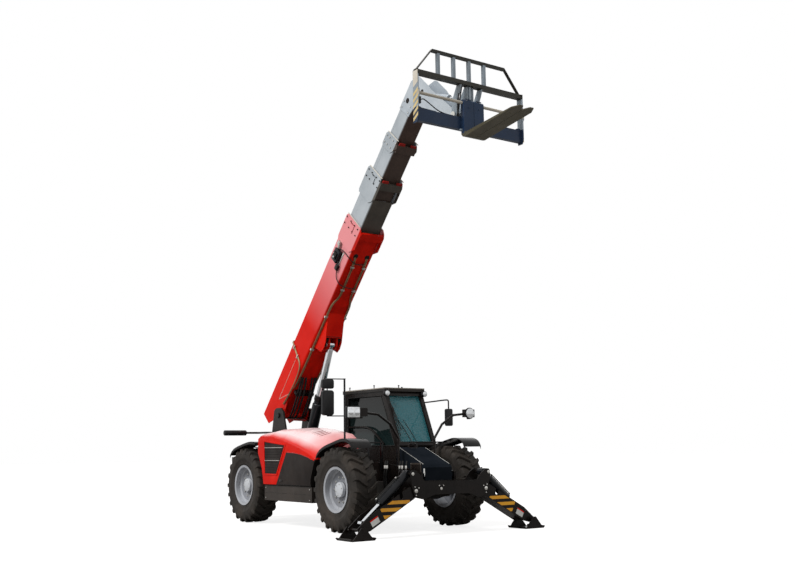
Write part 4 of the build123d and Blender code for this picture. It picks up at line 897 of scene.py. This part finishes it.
bracket = {"half": 0.165, "wall": 0.010, "eye": (1.63, -0.494),
           "cheek": [(2.14, -0.2805), (1.72, -0.535), (1.60, -0.560), (1.50, -0.535), (1.42, -0.2805)],
           "cover": [(2.14, -0.2805), (1.78, -0.4985), (1.775, -0.489), (2.12, -0.2805)]}
half, wall = bracket["half"], bracket["wall"]
coverParts = [boomPlate(redPaint, bracket["cheek"], wall, y, 0.002) for y in (wall - half, half)]
coverParts.append(boomPlate(redPaint, bracket["cover"], 2 * (half - wall), half - wall))
for y in (-0.120, 0.120):
    coverParts.append(boomBlock(mattBlack, 1.60, 1.76, y - 0.034, y + 0.034, -0.500, -0.40, 0.006))
coverParts.append(boomBlock(mattBlack, 1.772, 1.800, -0.154, 0.154, -0.492, -0.400, 0.006))
joined("lift_bracket_cover", coverParts, "boom")

liftEye = onBoom(bracket["eye"][0], 0, bracket["eye"][1])
pins = []
for sign in (-1, 1):
    pins.append(stud(zincPlate, (-2.821, sign * 0.2385, 1.805), (0, sign, 0), 0.008, 0.046, 28, 0.003))
for sign in (-1, 1):
    out, y = Vector((0, sign, 0)), sign * 0.09
    pins.append(stud(zincPlate, liftEye + out * 0.088, out, 0.016, 0.040, 28, 0.003))
    pins.append(boomBlock(redPaint, 1.70, 1.72, y - 0.006, y + 0.006, -0.47, -0.36, 0.002))
joined("boom_pins", pins, "boom")

liftBase = Vector((-2.460, 0, 0.860))
liftWay = (liftEye - liftBase).normalized()
liftSide = liftWay.cross(Vector((0, 1, 0))).normalized()
liftLength = (liftEye - liftBase).length
liftTube = {   # radius and place along the cylinder
    "barrel": [(0.0785, 0.10), (0.088, 0.10), (0.094, 0.115), (0.094, 1.205), (0.088, 1.225),
               (0.0785, 1.235)],
    "gland": [(0.0785, 1.290), (0.084, 1.292), (0.086, 1.300), (0.086, 1.365), (0.083, 1.372),
              (0.0785, 1.374)],
    "rod": [(0.0425, liftLength - 1.00), (0.060, liftLength - 1.00), (0.060, liftLength - 0.078),
            (0.056, liftLength - 0.070), (0.0425, liftLength - 0.070)],
    "ports": (0.22, 1.16),
    "pipe": [(1.16, 0.118), (1.10, 0.124), (0.60, 0.122), (0.30, 0.124), (0.22, 0.118)],
}
sleeve = [
    ringOf(glossBlack, liftBase, liftWay, liftTube["barrel"]),
    ringOf(blackPaint, liftBase, liftWay, liftTube["gland"]),
]
for reach in liftTube["ports"]:
    spot = liftBase + liftWay * reach + liftSide * 0.085
    sleeve.append(stud(zincPlate, spot, liftSide, 0.040, 0.020, 6, 0.003))
places = [liftBase + liftWay * reach + liftSide * off for reach, off in liftTube["pipe"]]
sleeve.append(pipe(blackPaint, places, 0.010))
joined("lift_barrel_tube", sleeve, "lift_barrel")
joined("lift_rod_tube", [ringOf(chromeRod, liftBase, liftWay, liftTube["rod"])], "lift_rod")

# collars at the mouths: bolt heads, a pale lip on each side, and wear pads below where there are any
collars = [
    {"body": "boom", "name": "outer", "mouth": 3.83, "reach": 0.236, "levels": (0.22, 0.06, -0.08, -0.20),
     "bolts": blackPaint, "slot": "red_paint"},
    {"body": "second_section", "name": "second", "mouth": 4.75, "reach": 0.216,
     "levels": (0.20, 0.08, -0.08, -0.20), "bolts": blackPaint, "slot": "grey_paint", "pads": (0.19, -0.268)},
    {"body": "third_section", "name": "third", "mouth": 5.42, "reach": 0.198,
     "levels": (0.13, 0.04, -0.08, -0.18), "bolts": zincPlate, "slot": "grey_paint", "pads": (0.165, -0.240)},
]
for collar in collars:
    mouth, reach, levels = collar["mouth"], collar["reach"], collar["levels"]
    parts = []
    for sign in (-1, 1):
        for n in levels:
            for back in (0.06, 0.18):
                spot = onBoom(mouth - back, sign * reach, n)
                parts.append(stud(collar["bolts"], spot, (0, sign, 0), 0.010, 0.012))
        y0, y1 = sorted((sign * reach, sign * (reach - 0.016)))
        parts.append(boomBlock(creamPaint, mouth - 0.005, mouth + 0.004, y0, y1, levels[-1] - 0.03,
                               levels[0] + 0.02, 0.001, 1))
    if "pads" in collar:
        half, n = collar["pads"]
        for y in (-half, half - 0.11):
            parts.append(boomBlock(deepRed, mouth - 0.10, mouth - 0.02, y, y + 0.11, n, n + 0.03, 0.006))
    joined(f"collar_trim_{collar['name']}", parts, collar["body"])

weldLine = {"n": 0.085, "radius": 0.0016, "sunk": 0.0006}
for name, half, start, end in (("second", 0.200, 3.86, 4.24), ("third", 0.1825, 4.78, 5.15),
                               ("fourth", 0.1625, 5.45, 5.81)):
    lines = []
    for sign in (-1, 1):
        y = sign * (half - weldLine["sunk"])
        ends = [(start, y, weldLine["n"]), (end, y, weldLine["n"])]
        lines.append(boomPipe(boomGrey, ends, weldLine["radius"], bent=False))
    joined(f"weld_line_{name}", lines, f"{name}_section")
print("boom done")


head = {"pivot": Vector((2.240, 0, 5.980)), "face": 0.1745,
        "caps": ((6.02, 0.02, 0.042), (6.28, -0.02, 0.030), (6.30, -0.24, 0.036)),
        "bolts": ((5.88, 0.10), (5.88, -0.12), (5.98, 0.10), (5.98, -0.12))}
headParts = []
for sign in (-1, 1):
    out, face = Vector((0, sign, 0)), sign * head["face"]
    headParts.append(stud(zincPlate, head["pivot"] + out * 0.2265, out, 0.010, 0.052, 28, 0.003))
    for s, n, radius in head["caps"]:
        headParts.append(stud(mattBlack, onBoom(s, face, n), out, 0.0035, radius, 28))
    for s, n in head["bolts"]:
        headParts.append(stud(zincPlate, onBoom(s, face, n), out, 0.010, 0.012))
    headParts.append(stud(headGrey, onBoom(6.20, face, -0.10), out, 0.012, 0.050, 28, 0.004))
joined("head_pins", headParts, "fourth_section")

stripes = {"count": 5, "pitch": 0.09, "film": 0.0012,
           "top": [(0.004, 0.52), (0.116, 0.58), (0.116, 0.76), (0.004, 0.76)]}
stripeParts = []
for sign, x in ((-1, 2.30), (1, 2.42)):
    base, across = (x, sign * 0.985, 5.70), (-sign, 0, 0)
    for index in range(stripes["count"]):
        z = 0.02 + index * stripes["pitch"]
        stripe = [(0.004, z), (0.116, z + 0.075), (0.116, z + 0.125), (0.004, z + 0.05)]
        stripeParts.append(plate(fadedYellow, stripe, stripes["film"], base, across))
    stripeParts.append(plate(creamPaint, stripes["top"], stripes["film"], base, across))
joined("carriage_stripes", stripeParts, "carriage")

carriageParts = [
    block(palePaint, (2.375, -0.225, 5.705), (2.405, -0.175, 5.732)),
    pipe(rubberHose, [(2.34, -0.16, 6.40), (2.36, -0.21, 6.25), (2.37, -0.235, 6.05), (2.36, -0.225, 5.90),
                      (2.33, -0.20, 5.80)], 0.010),
    pipe(rubberHose, [(2.34, -0.13, 6.40), (2.37, -0.19, 6.22), (2.37, -0.215, 6.05), (2.35, -0.245, 5.92),
                      (2.32, -0.24, 5.80)], 0.010),
    pipe(rubberHose, [(2.30, -0.90, 6.02), (2.33, -0.86, 6.10), (2.31, -0.72, 6.05), (2.31, -0.50, 5.93),
                      (2.33, -0.30, 5.93)], 0.008),
    block(blackPaint, (2.33, -0.965, 5.98), (2.40, -0.915, 6.08), 0.005),
]
for y in (-0.93, 0.93):
    carriageParts.append(block(navyPaint, (2.302, y - 0.03, 5.914), (2.372, y + 0.03, 5.940)))
carriageParts.append(block(palePaint, (2.34, -0.0225, 6.14), (2.372, 0.0225, 6.412)))
joined("carriage_trim", carriageParts, "carriage")

forkLock = {"face": 2.4453, "y": 0.095, "bolt": 6.06, "clip": 6.168}
for side, sign in bothSides:
    x, y, z = forkLock["face"], sign * forkLock["y"], forkLock["clip"]
    parts = [
        stud(navyPaint, (x, y, forkLock["bolt"]), (1, 0, 0), 0.006, 0.014, 6, 0.002),
        block(navyPaint, (x - 0.012, y - 0.05, z), (x - 0.002, y + 0.05, z + 0.017), 0.003),
        stud(zincPlate, (2.410, y, z), (0, 0, 1), 0.027, 0.013, 12, 0.002),
    ]
    joined(f"fork_lock_{side}", parts, f"fork_{side}")
print("head and carriage done")


leg = {"pivot": (0.630, 0.620), "foot": (1.530, 0.135), "face": 1.7222, "middle": 1.6, "film": 0.0012}
legBands = [   # along the leg and above its line, so that each band lies level
    [(0.14, -0.080), (0.20, -0.080), (0.493, 0.078), (0.393, 0.078), (0.14, -0.058)],
    [(0.30, -0.080), (0.40, -0.080), (0.62, 0.0387), (0.62, 0.078), (0.593, 0.078)],
    [(0.50, -0.080), (0.60, -0.080), (0.62, -0.069), (0.62, -0.015)],
]
legPatch = [(0.700, -0.062), (0.840, -0.062), (0.840, 0.030), (0.700, 0.030)]
patchEdge = [(0.700, 0.012), (0.840, 0.012), (0.840, 0.030), (0.700, 0.030)]
cylinder = {"head": (0.684, 0.854), "eye": (1.440, 0.2135), "collars": (0.16, 0.585),
            "collar": [(0.052, 0), (0.0625, 0), (0.0655, 0.003), (0.0655, 0.025), (0.0625, 0.028),
                       (0.052, 0.028)],
            "pipe": [(0.13, 0.058), (0.15, 0.075), (0.30, 0.076), (0.56, 0.076), (0.62, 0.074)]}


def legPlate(finish, loop, thick, sign):
    # on the front of a leg; the outline's axes change places on the right, so that it grows forwards
    pivot = Vector((leg["face"], sign * leg["pivot"][0], leg["pivot"][1]))
    run = Vector((leg["face"], sign * leg["foot"][0], leg["foot"][1])) - pivot
    above = Vector((0, -run.z * sign, run.y * sign))
    if sign < 0:
        return plate(finish, [(b, a) for a, b in loop], thick, pivot, above, run)
    return plate(finish, loop, thick, pivot, run, above)


for side, sign in bothSides:
    parts = [legPlate(yellowPaint, loop, leg["film"], sign) for loop in legBands]
    parts.append(legPlate(palePlastic, legPatch, leg["film"], sign))
    parts.append(legPlate(redPaint, patchEdge, leg["film"] + 0.0004, sign))
    joined(f"leg_stripes_{side}", parts, f"leg_{side}")

    pinParts = []
    for (y, z), radius in ((leg["pivot"], 0.028), (cylinder["head"], 0.024)):
        for x, out in ((1.748, 1), (1.452, -1)):
            pinParts.append(stud(zincPlate, (x, sign * y, z), (out, 0, 0), 0.010, radius, 24, 0.003))
            if out > 0 and y == leg["pivot"][0]:
                for dy, dz in ((-0.045, 0.040), (0.020, 0.055), (0.0, -0.060)):
                    spot = (x, sign * (y + dy), z + dz)
                    pinParts.append(stud(zincPlate, spot, (1, 0, 0), 0.009, 0.0095))
    joined(f"frame_pins_{side}", pinParts, "body")

    footParts = []
    for out in (-1, 1):
        spot = (leg["middle"] + out * 0.150, sign * leg["foot"][0], leg["foot"][1])
        footParts.append(stud(zincPlate, spot, (out, 0, 0), 0.008, 0.026, 24, 0.003))
    joined(f"foot_pins_{side}", footParts, f"pad_{side}")

    start, eye = (Vector((leg["middle"], sign * y, z)) for y, z in (cylinder["head"], cylinder["eye"]))
    way = (eye - start).normalized()
    off = Vector((0, -way.z * sign, abs(way.y)))
    barrel = []
    for x in (-0.018, 0.018):
        places = [start + way * d + off * up + Vector((x, 0, 0)) for d, up in cylinder["pipe"]]
        barrel.append(pipe(rubberHose, places, 0.0075))
    for d in cylinder["collars"]:
        barrel.append(ringOf(glossBlack, start + way * d, way, cylinder["collar"], 36))
        spot = start + way * (d + 0.014) + off * 0.055
        barrel.append(stud(zincPlate, spot, off, 0.037, 0.014, 6, 0.002))
    joined(f"stab_pipes_{side}", barrel, f"stab_barrel_{side}")
print("stabilisers done")


nosePanel = {"side": -0.2405, "hole": [(1.122, 0.836), (1.338, 0.836), (1.338, 0.969), (1.122, 0.969)],
             "rim": [(1.098, 0.812), (1.362, 0.812), (1.362, 0.993), (1.098, 0.993)]}
panelY = nosePanel["side"]
noseParts = [
    block(blackPaint, (1.105, panelY - 0.006, 0.820), (1.355, panelY, 0.985), 0.003),
    plate(skirtGrey, nosePanel["rim"], 0.010, (0, panelY - 0.001, 0), soft=0.002, holes=[nosePanel["hole"]]),
    block(palePlastic, (1.405, panelY - 0.002, 0.800), (1.440, panelY, 0.915), 0.0005, 1),
]
for x, z in ((1.112, 0.980), (1.348, 0.980), (1.112, 0.825), (1.348, 0.825)):
    noseParts.append(stud(zincPlate, (x, panelY - 0.008, z), (0, -1, 0), 0.008, 0.007))
noseParts.append(pipe(blackPaint, [   # lifting handle
    (0.80, -0.06, 1.205), (0.80, -0.06, 1.262), (0.82, -0.04, 1.272), (0.82, 0.04, 1.272),
    (0.80, 0.06, 1.262), (0.80, 0.06, 1.205)], 0.010))
noseParts.append(block(blackPaint, (0.775, -0.085, 1.198), (0.840, 0.085, 1.212)))
for dy, dz, radius, sides in ((0, 0, 0.020, 20), (-0.035, 0.042, 0.010, 6), (0.040, 0.042, 0.010, 6)):
    noseParts.append(stud(zincPlate, (1.748, -0.19 + dy, 0.64 + dz), (1, 0, 0), 0.009, radius, sides, 0.002))
for y in (-0.236, 0.236):
    noseParts.append(pipe(zincPlate, [(0.815, y, 1.212), (1.400, y, 0.975)], 0.0035, bent=False))
joined("nose_trim", noseParts, "body")

lampParts = [
    block(darkPlastic, (0.895, -1.262, 1.640), (0.963, -1.030, 1.812), 0.018, 3),
    block(lensClear, (0.955, -1.250, 1.652), (0.978, -1.042, 1.800), 0.012, 3),
]
for y in (-1.200, -1.092):
    lampParts.append(stud(chromeRod, (0.974, y, 1.726), (1, 0, 0), 0.009, 0.044, 32, 0.004))
lampParts.append(stud(darkPlastic, (0.940, 1.0, 1.730), (1, 0, 0), 0.032, 0.088, 36, 0.008))
lampParts.append(stud(lensClear, (0.966, 1.0, 1.730), (1, 0, 0), 0.016, 0.076, 36, 0.006))
for y in (-1.0, 1.0):
    lampParts.append(block(blackPaint, (0.905, y - 0.020, 1.640), (0.950, y + 0.020, 1.665), 0.005))
joined("work_lamps", lampParts, "body")

mirror = {"post": (0.090, -0.750), "head": (0.024, -1.020), "left": (0.240, 1.150)}
postX, postY = mirror["post"]
headX, headY = mirror["head"]
leftX, leftY = mirror["left"]
mirrorParts = [
    block(darkPlastic, (postX - 0.020, -0.345, 0.860), (postX + 0.020, -0.3155, 1.330)),
    pipe(darkPlastic, [(postX, -0.330, 1.315), (postX, -0.70, 1.315), (postX, -0.748, 1.317),
                       (postX, postY, 1.365), (postX, postY, 2.272)], 0.0155),
    rod(darkPlastic, (postX, postY, 2.262), (postX, postY, 2.276), 0.018, 20, 0.003),
    rod(darkPlastic, (headX, headY, 1.700), (headX, headY, 2.272), 0.009, 16, 0.001),
]
for z in (1.704, 2.266):
    arm = [(postX, postY, z), (headX + 0.004, headY + 0.016, z), (headX, headY, z)]
    mirrorParts.append(pipe(darkPlastic, arm, 0.0085))
mirrorParts.append(pipe(darkPlastic, [
    (-0.365, 1.1005, 1.955), (-0.365, 1.142, 1.955), (0.05, leftY, 1.972), (0.205, leftY, 1.975),
    (0.238, leftY, 1.962), (leftX, leftY, 1.92), (leftX, leftY, 1.56)], 0.0115))


def mirrorHead(x, y, half, z0, z1, corner):
    # rounded shell with a shallow lip on its rear face and a crowned front
    shell = block(darkPlastic, (x - 0.022, y - half, z0), (x + 0.022, y + half, z1), 0)
    editAll(shell)
    bpy.ops.mesh.select_mode(type="EDGE")
    bpy.ops.mesh.select_all(action="DESELECT")
    bpy.ops.object.mode_set(mode="OBJECT")
    for edge in shell.data.edges:
        a, b = (shell.data.vertices[i].co for i in edge.vertices)
        edge.select = abs(a.x - b.x) > 0.02
    bpy.ops.object.mode_set(mode="EDIT")
    bpy.ops.mesh.bevel(offset=corner, segments=6, affect="EDGES")
    for way, rim, push in ((-1, 0.010, 0.004), (1, 0.016, 0.007)):
        chooseFaces(shell, lambda c, n: n.x * way > 0.9)
        bpy.ops.mesh.inset(thickness=rim)
        bpy.ops.transform.translate(value=(push, 0, 0))
    letGo()
    return shell


def mirrorGlass(x, y, half, z0, z1):
    # set into the rear face, with its corners cut
    side, cut = half - 0.018, half - 0.03
    corners = [(-cut, z0 + 0.018), (cut, z0 + 0.018), (side, z0 + 0.03), (side, z1 - 0.03), (cut, z1 - 0.018),
               (-cut, z1 - 0.018), (-side, z1 - 0.03), (-side, z0 + 0.03)]
    return plate(chromeRod, corners, 0.002, (x - 0.0165, y, 0), (0, -1, 0))


mirrorHeads = (   # middle, half width, foot, top and corner
    (headX, headY + 0.006, 0.102, 1.712, 2.093, 0.044),
    (headX, headY + 0.006, 0.102, 2.117, 2.260, 0.034),
    (leftX, leftY, 0.066, 1.552, 1.828, 0.028),
)
for x, y, half, z0, z1, corner in mirrorHeads:
    mirrorParts.append(mirrorHead(x, y, half, z0, z1, corner))
    mirrorParts.append(mirrorGlass(x, y, half, z0, z1))
joined("mirrors", mirrorParts, "body", 40, ["mirror_arms"])
print("lamps and mirrors done")


roofLamp = {"y": (0.332, 1.095), "z": 2.095}
roofStuds = ((-1.50, 0.36), (-0.75, 0.36), (-0.95, 1.07), (-1.55, 1.07), (-0.55, 0.72))
roofParts = []
for y in roofLamp["y"]:
    roofParts.append(block(blackPaint, (-0.395, y - 0.012, 2.110), (-0.355, y + 0.012, 2.160), 0.003))
    roofParts.append(stud(darkPlastic, (-0.385, y, roofLamp["z"]), (1, 0, 0), 0.067, 0.048, 28, 0.008))
    roofParts.append(stud(lensClear, (-0.322, y, roofLamp["z"]), (1, 0, 0), 0.011, 0.041, 28, 0.004))
for x, y in roofStuds:
    roofParts.append(stud(blackPaint, (x, y, 2.188), (0, 0, 1), 0.050, 0.008, 12, 0.002))
    roofParts.append(stud(blackPaint, (x, y, 2.230), (0, 0, 1), 0.016, 0.014, 16, 0.003))
joined("roof_fittings", roofParts, "body")

screen = {"top": Vector((-0.41, 0, 2.13)), "foot": Vector((-0.03, 0, 1.25)), "pivot": 0.93}
slope = (screen["foot"] - screen["top"]).normalized()
outward = Vector((-slope.z, 0, slope.x))


def onScreen(down, y, out):
    # a place on the windscreen, measured down its slope and out from its face
    return screen["top"] + Vector((0, y, 0)) + slope * down + outward * out


def screenLine(finish, places, radius):
    return pipe(finish, [onScreen(*place) for place in places], radius, bent=False)


wipers = []
for pivotY, tipY in ((0.60, 0.44), (0.70, 0.54)):
    down = screen["pivot"]
    wipers.append(stud(blackPaint, onScreen(down, pivotY, 0.0), outward, 0.030, 0.016, 16, 0.003))
    arm = [(down, pivotY, 0.024), (0.72, (pivotY + tipY) / 2, 0.030), (0.52, tipY, 0.022)]
    wipers.append(screenLine(blackPaint, arm, 0.006))
wipers.append(screenLine(rubberHose, [(0.30, 0.405, 0.016), (0.70, 0.455, 0.016)], 0.008))
wipers.append(screenLine(blackPaint, [(0.22, 0.385, 0.018), (0.60, 0.400, 0.026), (0.80, 0.410, 0.018)],
                         0.006))
joined("wipers", wipers, "body")

rail = {"y": 0.322, "run": [(-1.50, 1.56), (-1.05, 1.565), (-0.80, 1.53), (-0.62, 1.42), (-0.42, 1.27)]}
seal = {"y": 0.3285, "run": [(-1.51, 1.25), (-1.51, 2.06), (-0.50, 2.06), (-0.12, 1.25), (-1.51, 1.25)]}
railParts = [
    pipe(blackPaint, [(x, rail["y"], z) for x, z in rail["run"]], 0.018),
    pipe(rubberHose, [(x, seal["y"], z) for x, z in seal["run"]], 0.010, bent=False),
]
joined("window_rail", railParts, "body")


def cushion(low, high):
    # soft block: its edges and corners are drawn in, and subdivision rounds it
    pad = block(seatCloth, low, high, soft=0)
    editAll(pad)
    bpy.ops.mesh.subdivide(number_cuts=4)
    letGo()
    size = Vector(high) - Vector(low)
    mid = (Vector(high) + Vector(low)) / 2
    for point in pad.data.vertices:
        x, y, z = (2 * (point.co[axis] - mid[axis]) / size[axis] for axis in range(3))
        pull = 1 - 0.10 * (x ** 2 * y ** 2 + y ** 2 * z ** 2 + x ** 2 * z ** 2) / 2
        point.co = mid + (point.co - mid) * pull
    applied(pad, "SUBSURF", levels=2, render_levels=2)
    return pad


low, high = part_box("seat")
base = low.z + 0.36 * (high.z - low.z)
seatParts = [
    cushion((low.x + 0.06, low.y + 0.01, base), (high.x - 0.005, high.y - 0.01, base + 0.13)),
    cushion((low.x + 0.005, low.y + 0.02, base + 0.10), (low.x + 0.14, high.y - 0.02, high.z - 0.005)),
    block(seatPlastic, (low.x + 0.08, low.y + 0.06, low.z), (high.x - 0.08, high.y - 0.06, base + 0.02),
          0.02, 3),
]
seat = joined("driver_seat", seatParts, "body", 60, ["seat"])
print("cab done")


rearBar = {"x": -3.550, "z": 1.512}
barX, barZ = rearBar["x"], rearBar["z"]
barParts = [
    pipe(blackPaint, [(-2.93, -0.322, 1.500), (-3.20, -0.322, barZ), (-3.50, -0.322, barZ),
                      (-3.545, -0.340, barZ), (barX, -0.40, barZ), (barX, -0.62, barZ)], 0.018),
    rod(darkPlastic, (barX, -0.590, barZ), (barX, -1.02, barZ), 0.048, 32, 0.010),
    rod(blackPaint, (barX, -0.575, barZ), (barX, -0.62, barZ), 0.030, 24, 0.006),
    block(blackPaint, (-2.96, -0.330, 1.470), (-2.88, -0.315, 1.530)),
]
joined("rear_bar", barParts, "body")

frontHoses = []
for x, y, radius in ((0.60, -0.345, 0.014), (0.66, -0.350, 0.014), (0.98, -0.345, 0.016),
                     (1.05, -0.350, 0.016), (1.14, -0.345, 0.012)):
    frontHoses.append(pipe(rubberHose, [
        (x, y, 1.02), (x + 0.02, y - 0.03, 0.92), (x - 0.01, y - 0.035, 0.74), (x + 0.03, y - 0.02, 0.60),
        (x + 0.02, y, 0.54)], radius))
    frontHoses.append(rod(zincPlate, (x + 0.01, y - 0.022, 0.955), (x + 0.012, y - 0.026, 0.905),
                          radius + 0.006, 6, 0.001))
joined("front_hoses", frontHoses, "body")
print("chassis trim done")


letGo()
bpy.ops.mesh.primitive_plane_add(size=160, location=(0, 0, cadBox[0].z - 0.001))
floor = settle(bpy.context.object)
floor.name = "floor"
floorFinish, floorTree, floorShader = freshFinish("floorPale")
floorShader.inputs["Base Color"].default_value = (0.30, 0.29, 0.28, 1)
floorShader.inputs["Roughness"].default_value = 0.9
floorShader.inputs["Specular IOR Level"].default_value = 0.1
path = floorTree.nodes.new("ShaderNodeLightPath")
glow = floorTree.nodes.new("ShaderNodeEmission")
glow.inputs["Color"].default_value = (1, 1, 1, 1)
bright = spread(floorTree, path.outputs["Is Camera Ray"], 0.0, 0.82, 0.0, 1.0)
link(floorTree, bright, glow.inputs["Strength"])
both = floorTree.nodes.new("ShaderNodeAddShader")
link(floorTree, floorShader.outputs[0], both.inputs[0])
link(floorTree, glow.outputs[0], both.inputs[1])
link(floorTree, both.outputs[0], floorTree.nodes["Material Output"].inputs["Surface"])
coat(floor, floorFinish)

# white to the camera, in reflections and through the glass, and dimmer as a light
world = bpy.data.worlds.new("studio")
bpy.context.scene.world = world
world.use_nodes = True
tree = world.node_tree
sky = tree.nodes["Background"]
sky.inputs["Color"].default_value = (1, 1, 1, 1)
path = tree.nodes.new("ShaderNodeLightPath")
seen = sums(tree, "MAXIMUM", path.outputs["Is Camera Ray"], path.outputs["Is Glossy Ray"])
seen = sums(tree, "MAXIMUM", seen, path.outputs["Is Transmission Ray"])
link(tree, spread(tree, seen, 0.55, 1.0, 0.0, 1.0), sky.inputs["Strength"])

sun = bpy.data.objects.new("sun", bpy.data.lights.new("sun", "SUN"))
bpy.context.scene.collection.objects.link(sun)
sun.data.energy = 2.3
sun.data.angle = math.radians(18)
sun.rotation_euler = Vector((-0.05, 0.72, -0.80)).to_track_quat("-Z", "Y").to_euler()

camera = {"place": Vector((13.23785, -9.02005, 1.23198)), "yaw": 2.52648, "pitch": 0.15811, "roll": -0.0123,
          "lens": 45.60}
eye = bpy.data.objects.new("camera", bpy.data.cameras.new("camera"))
bpy.context.scene.collection.objects.link(eye)
eye.data.lens = camera["lens"]
eye.data.sensor_width = 36
eye.data.clip_end = 500
yaw, pitch, roll = camera["yaw"], camera["pitch"], camera["roll"]
ahead = Vector((math.cos(yaw) * math.cos(pitch), math.sin(yaw) * math.cos(pitch), math.sin(pitch)))
right = ahead.cross(Vector((0, 0, 1))).normalized()
above = right.cross(ahead)
rolledRight = math.cos(roll) * right + math.sin(roll) * above
rolledUp = -math.sin(roll) * right + math.cos(roll) * above
turn = Matrix((rolledRight, rolledUp, -ahead)).transposed().to_4x4()
eye.matrix_world = Matrix.Translation(camera["place"]) @ turn
bpy.context.scene.camera = eye
bpy.context.scene.view_settings.view_transform = "Standard"
print("camera and light done")
